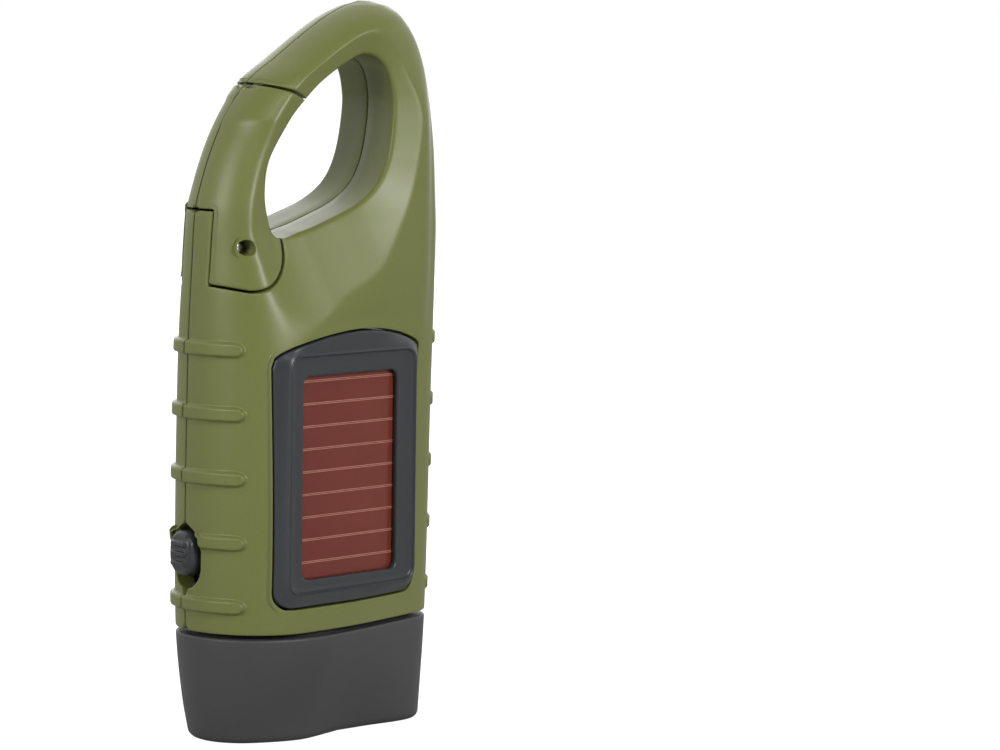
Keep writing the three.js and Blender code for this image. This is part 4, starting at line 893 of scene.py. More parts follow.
def shell_half(side, rib_height):
    """One shell: its outline, its holes and the surface between them."""
    s = skin(side, rib_height)
    outline = hook_outline(s)
    holes = []
    patches = [(np.linspace(*RIB_PATCH_P, 60), level + np.arange(-RIB_PATCH_HALF, 2.0, 0.2))
               for level in RIB_LEVELS]
    if side > 0:
        patches.append((np.linspace(*CUP_PATCH_P, 90), np.arange(*CUP_PATCH_Z, 0.3)))
        recess = ((0.97, RECESS_FLOOR_Y), (0.52, RECESS_FLOOR_Y), (0.5, RECESS_FLOOR_Y - 1.5))
        holes.append(hole_in(s, circle(HUB_X, HUB_Z, RECESS_RADIUS), SLOT_LIP, RECESS_FLOOR_Y, recess))
        seat = ((0.9, SCREW_SEAT), (0.6, SCREW_SEAT), (0.58, SCREW_HOLE_FLOOR))
        for x, z in SCREWS.values():
            holes.append(hole_in(s, circle(x, z, SCREW_HOLE_RADIUS, 0.45), HOLE_LIP, SCREW_SEAT, seat))
        cup = [(share, CUP_FLOOR_Y) for share in (0.95, 0.5, 0.02)]
        holes.append(hole_in(s, stadium(CUP_RADIUS - CUP_WALL), LIP, CUP_FLOOR_Y, cup))
    else:
        holes.append(bezel_hole(s))
    rows = sample_rows(HEAD_HEIGHT + GRID_STEP, CROWN - SEAM_SHORT)
    return half_mesh(s, outline, holes, rows, np.linspace(0, 1, GRID_COUNT), patches)


def gate_half(side):
    """One half of the gate, with the hole that shows the end of its pin."""
    s = skin(side)
    pin = hole_in(s, circle(*PIN, PIN_HOLE_RADIUS, 0.3), PIN_LIP, PIN_HOLE_FLOOR, ((0.85, PIN_HOLE_FLOOR),))
    rows = sample_rows(GATE_LOW, GATE_HIGH, 0.5)
    return half_mesh(s, gate_outline(s), [pin], rows, np.linspace(0, 1, GRID_COUNT))


def inset(loop, distance):
    """A closed plan loop drawn to its left by that distance along mitred vertex normals."""
    step = np.roll(loop, -1, axis=0) - loop
    step /= np.maximum(np.linalg.norm(step, axis=1, keepdims=True), 1e-9)
    after = np.stack([-step[:, 1], step[:, 0]], 1)
    before = np.roll(after, 1, axis=0)
    turns = (before * after).sum(1)[:, None]
    return loop + (before + after) / np.maximum(1 + turns, 0.4) * distance


def rounded(corners, radii, closed=True, steps=7):
    """A polyline with each corner C turned into the curve (1-t)^2 A + 2t(1-t) C + t^2 B, where
    A and B lie a radius before and after it."""
    corners = np.asarray(corners, float)
    radii = np.broadcast_to(radii, len(corners))
    t = np.linspace(0, 1, steps)[:, None]
    out = []
    for i, (corner, radius) in enumerate(zip(corners, radii)):
        if radius == 0 or (not closed and i in (0, len(corners) - 1)):
            out.append(corner[None])
            continue
        back, on = corners[i - 1] - corner, corners[(i + 1) % len(corners)] - corner
        start = corner + back / np.linalg.norm(back) * radius
        stop = corner + on / np.linalg.norm(on) * radius
        out.append((1 - t) ** 2 * start + 2 * t * (1 - t) * corner + t ** 2 * stop)
    return np.concatenate(out)


def evenly(loop, step):
    """A closed loop sampled again at even spacing."""
    shut = np.vstack([loop, loop[:1]])
    run = np.concatenate([[0], np.cumsum(np.linalg.norm(np.diff(shut, axis=0), axis=1))])
    n = int(run[-1] / step)
    at = np.arange(n) * run[-1] / n
    return np.stack([np.interp(at, run, shut[:, k]) for k in range(loop.shape[1])], 1)


def loft(rings, shut=False, poles=(None, None)):
    """Points, triangles and quads through closed rings of equal count. shut joins the last ring
    to the first; a pole closes an end with a fan to one point."""
    rings = np.asarray(rings, float)
    count, n = rings.shape[:2]
    at = np.arange(count * n).reshape(count, n)
    low, high = (at, np.roll(at, -1, axis=0)) if shut else (at[:-1], at[1:])
    quads = np.stack([low, np.roll(low, -1, 1), np.roll(high, -1, 1), high], -1).reshape(-1, 4)
    points, tris = rings.reshape(-1, 3), np.zeros((0, 3), int)
    for end, pole in zip((0, -1), poles):
        if pole is not None:
            ring = at[end][::-1] if end == 0 else at[end]
            fan = np.stack([ring, np.roll(ring, -1), np.full(n, len(points))], 1)
            points, tris = np.vstack([points, pole]), np.vstack([tris, fan])
    return points, tris, quads


def turned(profile, centre, axis, shut=False, poles=(False, False), steps=72):
    """A profile of (radius, height) rows turned about an axis through centre."""
    axis = np.asarray(axis, float)
    side = np.cross(axis, (0.0, 0.0, 1.0) if abs(axis[2]) < 0.9 else (1.0, 0.0, 0.0))
    side /= np.linalg.norm(side)
    other = np.cross(axis, side)
    a = 2 * math.pi * np.arange(steps) / steps
    circle_points = np.cos(a)[:, None] * side + np.sin(a)[:, None] * other
    profile = np.asarray(profile, float)
    rings = centre + profile[:, 0, None, None] * circle_points + profile[:, 1, None, None] * axis
    ends = [centre + profile[i, 1] * axis if pole else None for i, pole in zip((0, -1), poles)]
    return loft(rings, shut, ends)


def plate(outline, low, high, edge, place, steps=6):
    """A plate with round edges: its outline is carried through rings whose inset is
    edge (1 - sin t) and whose height is low + edge (1 - cos t), mirrored at the other face."""
    t = np.linspace(0, math.pi / 2, steps)
    ease = [(edge * 1.3, 0.0)] + list(zip(edge * (1 - np.sin(t)), edge * (1 - np.cos(t))))
    rows = [(i, low + h) for i, h in ease] + [(i, high - h) for i, h in reversed(ease)]
    n = len(outline)
    points, _, quads = loft([np.column_stack([inset(outline, i), np.full(n, h)]) for i, h in rows])
    faces, _ = triangulated([inset(outline, edge * 1.3)])
    return place(points), np.concatenate([faces[:, ::-1], faces + len(points) - n]), quads


def solid_object(name, *parts):
    """An object from closed lofts and plates, with every face turned outwards."""
    obj = mesh_object(name, *join_halves(*parts))
    shape = bmesh.new()
    shape.from_mesh(obj.data)
    bmesh.ops.remove_doubles(shape, verts=shape.verts, dist=1e-7)
    bmesh.ops.recalc_face_normals(shape, faces=shape.faces)
    shape.to_mesh(obj.data)
    shape.free()
    obj.data.shade_smooth()
    return obj


def tongue_parts():
    """The shells' tongue between the gate's cheeks: a round-ended plate across the pin."""
    edge = TONGUE_NECK_X - PIN[0]
    start = -math.degrees(math.acos(edge / TONGUE_RADIUS))
    round_end = arc(PIN, TONGUE_RADIUS, start, TONGUE_STOP)
    foot = [(x, TONGUE_FOOT_Z) for x in (TONGUE_BACK_X, TONGUE_NECK_X)]
    outline = evenly(np.vstack([foot, round_end]), 0.3)
    return plate(outline, -POST_HALF, POST_HALF, TONGUE_EDGE, lambda p: p[:, [0, 2, 1]])


def bezel_ring(loop, centre, angles):
    """Where rays from the centre at these angles meet a star-shaped loop, as (s, z)."""
    rel = loop - centre
    a = np.arctan2(rel[:, 1], rel[:, 0])
    order = np.argsort(a)
    a, rel = a[order], rel[order]
    r = np.hypot(rel[:, 0], rel[:, 1])
    wide_a = np.concatenate([a - 2 * math.pi, a, a + 2 * math.pi])
    radius = np.interp(angles, wide_a, np.tile(r, 3))
    return centre + radius[:, None] * np.stack([np.cos(angles), np.sin(angles)], 1)


def box_loop(left, right, low, top, corner):
    """A rectangle with round corners, counter-clockwise."""
    corners = [(left, low), (right, low), (right, top), (left, top)]
    return evenly(rounded(corners, corner * 1.2, steps=12), 0.15)


def bezel_parts():
    """The bezel: each ray from its middle meets the outline, the ridge and the window, and a
    profile of depths runs in from foot to bevel, over the ridge and down the window's wall."""
    centre = np.array(((WINDOW[0] + WINDOW[1]) / 2, (WINDOW[2] + WINDOW[3]) / 2))
    corners = [math.atan2(z - centre[1], s - centre[0]) for s in WINDOW[:2] for z in WINDOW[2:]]
    angles = np.linspace(-math.pi, math.pi, 721)[:-1]
    angles = np.unique(np.concatenate([angles] + [c + np.linspace(-0.06, 0.06, 25) for c in corners]))
    outer = bezel_ring(bezel_outline(0.0, 0.2), centre, angles)
    ridge = bezel_ring(box_loop(*RIDGE, RIDGE_CORNER), centre, angles)
    window = bezel_ring(box_loop(*WINDOW, WINDOW_CORNER), centre, angles)
    wider = np.add(WINDOW, np.array((-1, 1, -1, 1)) * WINDOW_UNDER)
    under = bezel_ring(box_loop(*wider, WINDOW_CORNER), centre, angles)
    rings = []

    def ring(a, b, share, depth):
        flat = a + (b - a) * share
        rings.append(panel_point(flat[:, 0], flat[:, 1], depth))

    edge = np.clip(skin_depth(skin(-1), outer)[0] + BEZEL_SINK, *BEZEL_EDGE)
    ring(outer, ridge, 0.0, BEZEL_DEPTH)
    ring(outer, ridge, 0.0, edge + BEVEL_FOOT)
    for t in np.linspace(0, 1, 7):
        ring(outer, ridge, BEVEL_SHARE * t * t, edge + BEVEL_FALL * (1 - t) ** 2 - BEVEL_RISE * t)
    for t in np.linspace(0, 1, 12)[1:]:
        ring(outer, ridge, BEVEL_SHARE + (BEAD_SHARE - BEVEL_SHARE) * t,
             (edge - BEVEL_RISE) * (1 - t) ** 1.3 + BEAD_FOOT * t)
    for t in np.linspace(0, 1, 6)[1:]:
        ring(outer, ridge, BEAD_SHARE + (1 - BEAD_SHARE) * t, BEAD_FOOT - BEAD * smooth_step(t))
    for t in np.linspace(0, 1, 6)[1:]:
        ring(ridge, window, STEP_SHARE * t,
             BEAD_FOOT - BEAD + (RIDGE_STEP + BEAD - BEAD_FOOT) * smooth_step(t))
    for share in (0.5, 1 - WINDOW_ROUND_SHARE):
        ring(ridge, window, share, RIDGE_STEP)
    for t in np.linspace(0, 1, 8)[1:]:
        round_depth = WINDOW_ROUND * (1 - math.sqrt(max(0.0, 1 - t * t)))
        ring(ridge, window, 1 - WINDOW_ROUND_SHARE * (1 - t), RIDGE_STEP + round_depth)
    ring(window, window, 0.0, CELL_RECESS)
    ring(window, under, 1.0, CELL_RECESS + 0.02)
    ring(window, under, 1.0, BEZEL_DEPTH)
    return loft(rings, shut=True)


def head_rings(rows, count=360):
    """Rings round the body's section: rows of (z, how far the surface is grown)."""
    angle = 2 * math.pi * np.arange(count) / count
    side = np.where(np.sin(angle) >= 0, 1, -1)
    rings = []
    for z, grow in rows:
        x, y = section(np.full(count, float(z)), angle, grow, side)
        rings.append(np.stack([x, y, np.full(count, float(z))], 1))
    return np.array(rings)


def head_parts():
    """The head: one closed profile of (z, growth) carried round the section, from the neck over
    the round shoulder, down the flank, round the rim, into the lens mouth and up inside."""
    top = HEAD_HEIGHT - HEAD_DROP
    t = np.linspace(0, math.pi / 2, 7)
    shoulder = [(top - HEAD_ROUND * (1 - math.cos(a)), -HEAD_ROUND * (1 - math.sin(a))) for a in t]
    flank = [(z, 0.0) for z in np.linspace(top - 0.8, RIM_RADIUS + 0.3, 30)]
    rim = [(RIM_RADIUS * (1 - math.sin(a)), -RIM_RADIUS * (1 - math.cos(a))) for a in t]
    neck = [(NECK_Z, NECK_OUT), (top + 0.02, NECK_OUT), (top, NECK_STEP)]
    return loft(head_rings(neck + shoulder + flank + rim + HEAD_MOUTH), shut=True)


def reflector_parts():
    """The reflector's face with its bowls: r = throat + (mouth - throat) sqrt(1 - h), h the
    share of the height, with a short skirt at the outline."""
    outline = head_rings([(REFLECTOR_Z, REFLECTOR_GROW)], 240)[0][:, :2]
    bowls = [circle(x, 0.0, BOWL_MOUTH, 0.3) for x in BOWLS]
    share = np.linspace(0, 1, 18)[1:]
    scale = (BOWL_THROAT + (BOWL_MOUTH - BOWL_THROAT) * np.sqrt(1 - share)) / BOWL_MOUTH
    faces, _ = triangulated([outline] + bowls)
    flat = np.concatenate([outline] + bowls)
    points = [np.column_stack([flat, np.full(len(flat), REFLECTOR_Z)])]
    runs = [(outline, [(0.0, 1.0, REFLECTOR_SKIRT)])]
    runs += [(bowl, zip([x] * len(share), scale, BOWL_HEIGHT * share)) for x, bowl in zip(BOWLS, bowls)]
    quads, count, start = [], len(flat), 0
    for loop, rings in runs:
        n = len(loop)
        last = start + np.arange(n)
        for x, size, height in rings:
            ring = (loop - (x, 0.0)) * size + (x, 0.0)
            points.append(np.column_stack([ring, np.full(n, REFLECTOR_Z + height)]))
            this = count + np.arange(n)
            quads.append(np.stack([last, np.roll(last, -1), np.roll(this, -1), this], 1))
            last, count = this, count + n
        start += n
    return np.concatenate(points), faces[:, ::-1], np.concatenate(quads)


def lamp_parts(x):
    """A lamp: a half-round dome, its round barrel and the flange behind it, turned about z."""
    t = np.linspace(0, math.pi / 2, 14)[1:]
    profile = [(LAMP_RADIUS * math.sin(a), -LAMP_RADIUS * math.cos(a)) for a in t]
    profile += [(LAMP_RADIUS + out, height) for out, height in LAMP_BACK]
    return turned(profile, np.array((x, 0.0, LAMP_Z)), (0, 0, 1), poles=(True, True), steps=48)


def slider_parts():
    """The switch knob: rings shrink from its rounded outline to its middle over a low crown,
    with three rounded ridges across it, and its stem runs in through the slot."""
    low, top, half = SLIDER_LOW, SLIDER_TOP, SLIDER_HALF
    corners = [(-half, low), (half, low), (half, top), (-half, top)]
    outline = evenly(rounded(corners, SLIDER_CORNER, steps=18), 0.12)
    middle = np.array((0.0, (low + top) / 2))
    rings = []
    for x, share in ((SLIDER_BACK, 0.9), (SLIDER_BACK, 1.0), (SLIDER_BACK - SLIDER_SIDE, 1.0)):
        flat = middle + (outline - middle) * share
        rings.append(np.column_stack([np.full(len(flat), x), flat]))
    rounding = 1 - SLIDER_EDGE_SHARE * np.linspace(0, 1, 12) ** 1.6
    for share in np.concatenate([rounding, np.linspace(0.76, 0.03, 40)]):
        flat = middle + (outline - middle) * share
        y, z = flat[:, 0], flat[:, 1] - middle[1]
        edge = np.clip((1 - share) / SLIDER_EDGE_SHARE, 0, 1)
        crown = SLIDER_CROWN + SLIDER_EDGE_DROP * (1 - math.sqrt(max(0.0, 1 - (1 - edge) ** 2)))
        inner = (smooth_step((half * RIDGE_WIDTH_SHARE - np.abs(y)) / RIDGE_SOFT)
                 * smooth_step((RIDGE_SPAN - np.abs(z)) / RIDGE_SOFT))
        wave = smooth_step(np.cos(z / RIDGE_PITCH * 2 * math.pi) * 0.9 + 0.45)
        bow = SLIDER_BOW * (z / (top - middle[1])) ** 2
        rings.append(np.column_stack([SLIDER_OUT + crown - RIDGE_LIFT * inner * wave * edge + bow, flat]))
    head = loft(rings, poles=(np.array((SLIDER_BACK, *middle)), np.array((SLIDER_OUT + 0.3, *middle))))
    reach = SLIDER_STEM_HALF
    stem_loop = box_loop(-reach, reach, middle[1] - reach, middle[1] + reach, 0.4)
    stem = plate(stem_loop, SLIDER_BACK - SLIDER_STEM_EDGE, SLIDER_FOOT, SLIDER_STEM_EDGE,
                 lambda p: p[:, [2, 0, 1]])
    return head, stem


ARM_ACROSS = np.array((math.cos(ARM_LEAN), 0.0, -math.sin(ARM_LEAN)))
ARM_ALONG = np.array((math.sin(ARM_LEAN), 0.0, math.cos(ARM_LEAN)))
HUB = np.array((HUB_X, 0.0, HUB_Z))
Y = np.array((0.0, 1.0, 0.0))


def on_arm(points):
    """(across, along, y) of the crank arm as a point of the maker's frame."""
    return HUB + points[:, :1] * ARM_ACROSS + points[:, 1:2] * ARM_ALONG + points[:, 2:] * Y


def hub_parts():
    """The hub: a round-edged disc and shaft turned about y, and the lug, a round-topped profile
    carried along the fold axis."""
    face, back = DISC_FACE, DISC_BACK
    disc = rounded([(HUB_SHAFT_RADIUS, HUB_SHAFT_END), (HUB_SHAFT_RADIUS, back), (DISC_RADIUS, back),
                    (DISC_RADIUS, face), (0.8, face)], [0, 0.4, 0.4, 0.75, 0], closed=False)
    body = turned(disc, HUB * (1, 0, 1), Y, poles=(True, True), steps=120)
    a = np.radians(np.linspace(*LUG_TURN, 44))
    top = np.stack([BARREL * np.cos(a), FOLD_Y + BARREL * np.sin(a)], 1)
    foot = [(-LUG_FOOT, face - 0.5), (LUG_FOOT, face - 0.5)]
    outline = evenly(np.vstack([foot, top]), 0.25)
    lug = plate(outline, -LUG_HALF, LUG_HALF, LUG_EDGE,
                lambda p: HUB + p[:, 2:] * ARM_ACROSS + p[:, :1] * ARM_ALONG + p[:, 1:2] * Y)
    return body, lug


def arm_parts(edge):
    """The arm: a tapered plate with round edges and a round-ended fork, and the two knuckles,
    annular profiles turned about the fold axis."""
    half, tip, gap = ARM_HUB_WIDTH / 2, ARM_TIP_WIDTH / 2, FORK_GAP
    lean = math.asin((half - tip) / (ARM_REACH - BARREL))
    a = np.linspace(lean, math.pi - lean, 40)
    end = np.stack([tip * np.cos(a), ARM_REACH + tip * np.sin(a)], 1)
    b = np.linspace(math.pi, 0, 26)
    slot = np.stack([gap * np.cos(b), FORK_END - gap + gap * np.sin(b)], 1)
    outline = np.vstack([[(-half, -1.0), (-gap, -1.0)], slot,
                         [(gap, -1.0), (half, -1.0), (half, BARREL + 1.0)], end, [(-half, BARREL + 1.0)]])
    body = plate(evenly(outline, 0.35), FOLD_Y - ARM_THICK / 2, FOLD_Y + ARM_THICK / 2, edge, on_arm)
    profile = rounded([(KNUCKLE_BORE, gap), (BARREL, gap), (BARREL, half), (KNUCKLE_BORE, half)],
                      KNUCKLE_EDGE)
    hinge = HUB + Y * FOLD_Y
    return (body, turned(profile, hinge, ARM_ACROSS, shut=True),
            turned(profile * (1, -1), hinge, ARM_ACROSS, shut=True))


def pin_parts(radius, centre, axis, reach):
    """A pin with domed ends, turned about its axis."""
    t = np.linspace(0, 1, 9)[1:]
    end = [(radius * s, -reach + PIN_DOME * s ** 2.5) for s in t]
    profile = end + [(radius, 0.0)] + [(r, -h) for r, h in reversed(end)]
    return turned(profile, centre, axis, poles=(True, True), steps=48)


def knob_parts():
    """The knob: its grip with round edges, waist and neck, and the rivet's seat, turned about y."""
    seat = FOLD_Y - ARM_THICK / 2 - KNOB_SEAT_GAP
    t = np.linspace(0, 1, 12)
    dimple = [(KNOB_BORE, 1.2), (2.5, 1.15), (2.6, 0.15), (2.8, 0.0)]
    grip = [(KNOB_RADIUS - KNOB_ROUND * (1 - math.sqrt(1 - (1 - s) ** 2)), KNOB_ROUND * s) for s in t]
    neck = rounded([(KNOB_RADIUS, KNOB_TIP + 1.4), (KNOB_RADIUS, seat - 1.6), (KNOB_NECK, seat - 1.5),
                    (KNOB_NECK, seat), (KNOB_BORE, seat)], [0, 0.4, 0.3, 0.3, 0], closed=False)
    profile = [(radius, KNOB_TIP + y) for radius, y in dimple + grip] + neck.tolist()
    return turned(profile, np.array((KNOB_X, 0.0, KNOB_Z)), Y, shut=True)


def rivet_parts():
    """The knob's rivet: a low dome, its flange and the shank up into the arm, turned about y."""
    t = np.linspace(0, 1, 8)[1:]
    profile = ([(RIVET_HEAD * s, KNOB_TIP + 0.45 * s ** 2) for s in t]
               + [(RIVET_HEAD, KNOB_TIP + 0.8), (RIVET_SHANK, KNOB_TIP + 0.85), (RIVET_SHANK, FOLD_Y + 1.2)])
    return turned(profile, np.array((KNOB_X, 0.0, KNOB_Z)), Y, poles=(True, True), steps=48)


def screw_parts(x, z):
    """A case screw: a domed head whose height falls by the depth of a cross-shaped recess, over a
    plain shank, as rings about y."""
    a = 2 * math.pi * np.arange(64) / 64
    ring = np.stack([np.cos(a), 0 * a, np.sin(a)], 1)
    shank = ((SCREW_LOW, SCREW_SHANK), (SCREW_SEAT, SCREW_SHANK), (SCREW_SEAT + 0.05, SCREW_HEAD - 0.05))
    rings = [np.array((x, y, z)) + radius * ring for y, radius in shank]
    for s in np.concatenate([np.linspace(1, 0.9, 5), np.linspace(0.85, 0.05, 20)]):
        flat = SCREW_HEAD * s * ring
        arms = np.minimum(np.abs(flat[:, 0]), np.abs(flat[:, 2]))
        sunk = smooth_step((CROSS_HALF - arms) / 0.12) * smooth_step((CROSS_REACH - SCREW_HEAD * s) / 0.2)
        y = SCREW_SEAT + 0.2 + SCREW_CROWN * (1 - s ** 6) * (1 - 0.15 * s * s) - CROSS_DEPTH * sunk
        rings.append(np.array((x, 0.0, z)) + flat + y[:, None] * Y)
    return loft(rings, poles=(np.array((x, SCREW_LOW, z)), np.array((x, SCREW_SEAT + 0.6, z))))


class Wire:
    """A shader value: wraps a socket, and arithmetic on it adds Math nodes to its tree."""

    def __init__(self, tree, socket):
        self.tree, self.socket = tree, socket

    def _math(self, operation, *values):
        return self.tree.node("ShaderNodeMath", {"operation": operation}, dict(enumerate(values)))

    def __add__(self, other):
        return self._math("ADD", self, other)

    def __sub__(self, other):
        return self._math("SUBTRACT", self, other)

    def __rsub__(self, other):
        return self._math("SUBTRACT", other, self)

    def __mul__(self, other):
        return self._math("MULTIPLY", self, other)

    def __truediv__(self, other):
        return self._math("DIVIDE", self, other)

    def __abs__(self):
        return self._math("ABSOLUTE", self)

    def turns(self):
        """What is left over whole numbers."""
        return self._math("FRACT", self)

    def larger(self, other):
        return self._math("MAXIMUM", self, other)

    def eased(self, low, high, start=0.0, stop=1.0):
        """start below low, stop above high and smooth between."""
        return self.tree.node("ShaderNodeMapRange", {"interpolation_type": "SMOOTHSTEP"},
                              {"Value": self, "From Min": low, "From Max": high,
                               "To Min": start, "To Max": stop})


class Tree:
    """A node tree under construction."""

    def __init__(self, nodes):
        self.tree = nodes

    def link(self, value, socket):
        """Feeds a socket from a Wire, or sets it to a plain value."""
        if isinstance(value, Wire):
            self.tree.links.new(value.socket, socket)
        else:
            socket.default_value = value

    def node(self, kind, settings=None, values=None, output=0):
        """A node of that type: its settings are set first, then its sockets by name or number."""
        node = self.tree.nodes.new(kind)
        for key, value in (settings or {}).items():
            setattr(node, key, value)
        for key, value in (values or {}).items():
            self.link(value, node.inputs[key])
        return Wire(self, node.outputs[output])


class Paint(Tree):
    """One material under construction on its Principled BSDF."""

    def __init__(self, name, roughness=0.5, **constants):
        self.material = bpy.data.materials.new(name)
        self.material.use_nodes = True
        super().__init__(self.material.node_tree)
        self.shader = self.tree.nodes["Principled BSDF"]
        self.set("Roughness", roughness)
        for key, value in constants.items():
            self.set(key.replace("_", " "), value)

    def set(self, socket, value):
        self.link(value, self.shader.inputs[socket])

    def place(self):
        """The place on the object in its own metres."""
        return self.node("ShaderNodeTexCoord", output="Object")

    def axes(self):
        """x, y and z of the place."""
        split = self.node("ShaderNodeSeparateXYZ", None, {0: self.place()})
        return [Wire(self, output) for output in split.socket.node.outputs]

    def stretched(self, scale):
        """The place with each axis scaled."""
        return self.node("ShaderNodeMapping", None, {"Vector": self.place(), "Scale": scale})

    def noise(self, scale, detail=3.0, rough=0.5, vector=None):
        """Fractal noise; scale is its number of features per metre."""
        return self.node("ShaderNodeTexNoise", None, {
            "Vector": vector or self.place(), "Scale": scale, "Detail": detail, "Roughness": rough})

    def blend(self, share, a, b):
        """Colour a where share is 0 and b where it is 1."""
        a, b = (color if isinstance(color, Wire) else (*color, 1.0) for color in (a, b))
        return self.node("ShaderNodeMix", {"data_type": "RGBA"}, {0: share, 6: a, 7: b}, output=2)

    def bump(self, height, depth):
        """Relief of that depth in metres, for heights from 0 to 1."""
        self.set("Normal", self.node("ShaderNodeBump", None, {"Strength": 1.0, "Distance": depth,
                                                              "Height": height}))


def shade(color, factor):
    """A colour made lighter or darker."""
    return tuple(min(1.0, c * factor) for c in color[:3])


def moulded(name, color, roughness, grain, spread=0.06, relief=1.2e-5, **constants):
    """Moulded plastic: a spark-eroded grain, slow drifts of colour, and handling marks that
    change the gloss. grain is the number of pits per metre."""
    paint = Paint(name, roughness, **constants)
    drift = paint.noise(28.0, 2.0)
    pits = paint.noise(grain, 3.0, 0.6)
    marks = paint.noise(160.0, 4.0, 0.65).eased(0.52, 0.72)
    tone = paint.blend(drift, shade(color, 1 - spread), shade(color, 1 + spread))
    paint.set("Base Color", paint.blend(pits.eased(0.35, 0.75) * 0.35, tone, shade(color, 1.16)))
    paint.set("Roughness", marks * -0.05 + pits * 0.10 + (roughness - 0.05))
    paint.bump(pits, relief)
    return paint.material


def metal(name, color, roughness, brushed=(900.0, 900.0, 60.0), spread=0.08):
    """Metal with fine draw marks along z and a faint tarnish."""
    paint = Paint(name, roughness, Metallic=1.0)
    lines = paint.noise(1.0, 2.0, 0.6, paint.stretched(brushed))
    tarnish = paint.noise(350.0, 3.0)
    paint.set("Base Color", paint.blend(tarnish, shade(color, 1 - 2 * spread), shade(color, 1 + spread)))
    paint.set("Roughness", lines * 0.16 + (roughness - 0.08))
    paint.bump(lines, 6e-6)
    return paint.material


def solar_glass(color, line):
    """The cell under its glass: brown-red strips with a pair of thin pale conductors between
    them, and the faint blotches of the film. The strips follow z."""
    paint = Paint("solar_glass", 0.16, Coat_Weight=0.15, Coat_Roughness=0.06, Specular_IOR_Level=0.3)
    x, _, z = paint.axes()
    steps = (z - float(SHIFT[2] + CELL_LINE_Z / 1000)) / (CELL_PITCH / 1000)
    near = abs((steps + 0.5).turns() - 0.5) * CELL_PITCH
    pair = abs(near - CELL_PAIR)
    conductor = 1 - pair.eased(CELL_LINE_HALF * 0.4, CELL_LINE_HALF)
    film = paint.noise(75.0, 4.0, 0.6)
    tint = paint.blend(film, shade(color, 0.78), shade(color, 1.2))
    paler = shade((color[0], color[1] * 1.5, color[2]), 1.12)
    tint = paint.blend((x / 0.03 + 0.35).eased(0.0, 1.0) * 0.35, tint, paler)
    faint = paint.noise(900.0, 2.0) * 0.5 + 0.45
    paint.set("Base Color", paint.blend(conductor * faint, tint, line))
    paint.set("Roughness", conductor * 0.15 + film * 0.06 + 0.12)
    paint.bump(conductor, 1.5e-5)
    return paint.material


def clear_plastic(name, tint, roughness):
    """Clear moulded plastic with faint flow lines."""
    paint = Paint(name, roughness, Transmission_Weight=1.0, IOR=1.49)
    flow = paint.noise(220.0, 2.0)
    paint.set("Base Color", paint.blend(flow, shade(tint, 0.96), tint))
    paint.set("Roughness", flow * 0.05 + roughness)
    paint.bump(flow, 8e-6)
    return paint.material


def board(name, color):
    """Circuit board lacquer over a woven laminate with paler tracks."""
    paint = Paint(name, 0.35)
    x, y, z = paint.axes()
    tracks = paint.noise(240.0, 0.0).eased(0.5, 0.54)
    weave = abs((x * 1400.0 + z * 300.0).turns() - 0.5) + abs((z * 1400.0 + y * 1400.0).turns() - 0.5)
    paint.set("Base Color", paint.blend(tracks, color, shade(color, 1.7)))
    paint.set("Roughness", weave * 0.12 + 0.3)
    paint.bump(tracks * 0.8 + weave * 0.2, 2.5e-5)
    return paint.material


def finishes(colours):
    """Every finish of the light, by a maker's name."""
    green, black = tuple(colours.shell), tuple(colours.crank)
    return {
        "shell": moulded("green_plastic", green, 0.40, 2600.0, relief=0.6e-5),
        "crank": moulded("black_plastic", black, 0.34, 2400.0, relief=0.9e-5),
        "bezel": moulded("bezel_plastic", tuple(colours.bezel), 0.38, 2400.0, relief=1.0e-5),
        "head": moulded("head_plastic", tuple(colours.head), 0.5, 2200.0, relief=1.4e-5),
        "switch": moulded("switch_plastic", tuple(colours.switch), 0.34, 2400.0, relief=0.9e-5),
        "cell": solar_glass(tuple(colours.cell), tuple(colours.conductor)),
        "steel": metal("steel", (0.62, 0.63, 0.65), 0.24),
        "screw": metal("screw_steel", (0.10, 0.10, 0.105), 0.4),
        "chrome": metal("reflector_chrome", (0.86, 0.87, 0.88), 0.1, (300.0, 300.0, 300.0), 0.02),
        "copper": metal("copper", (0.60, 0.25, 0.12), 0.32),
        "lens": clear_plastic("lens_plastic", (0.95, 0.97, 0.98), 0.04),
        "lamp": clear_plastic("lamp_resin", (0.97, 0.97, 0.94), 0.05),
        "board": board("board_green", (0.02, 0.11, 0.045)),
        "white": moulded("white_plastic", (0.74, 0.72, 0.66), 0.45, 2000.0),
        "magnet": metal("magnet", (0.12, 0.115, 0.115), 0.45),
    }


# The CAD nodes of each finish
CAD_FINISHES = {
    "cell": ("solar_cell",),
    "lens": ("lens",),
    "board": ("led_board", "main_board"),
    "steel": ("gate_spring", "switch_body", "battery_cell_1", "battery_cell_2", "battery_cell_3", "hub_clip",
              "gear_plate", "axle_1", "axle_2", "rotor_shaft", "generator_cup"),
    "white": ("hub_bush", "drive_gear", "gear_1", "gear_2", "rotor_pinion"),
    "magnet": ("rotor_magnet",),
    "copper": ("generator_coil", "led_lead_1", "led_lead_2")}

FINISHES = {}


def finish(name):
    """A finish from the present colours, made once."""
    if not FINISHES:
        FINISHES.update(finishes(bpy.context.scene.flashlight_colours))
    return FINISHES[name]


def fit(obj, material, body, *nodes):
    """Gives a piece its finish and its body, and hides the nodes that it stands for."""
    obj.data.materials.append(finish(material))
    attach(obj, body)
    if nodes:
        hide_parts(*nodes)
    return obj


def thicken(obj, thickness):
    """A live wall under a skin."""
    wall = obj.modifiers.new("wall", "SOLIDIFY")
    wall.thickness = thickness / 1000
    wall.offset = -1
    return obj


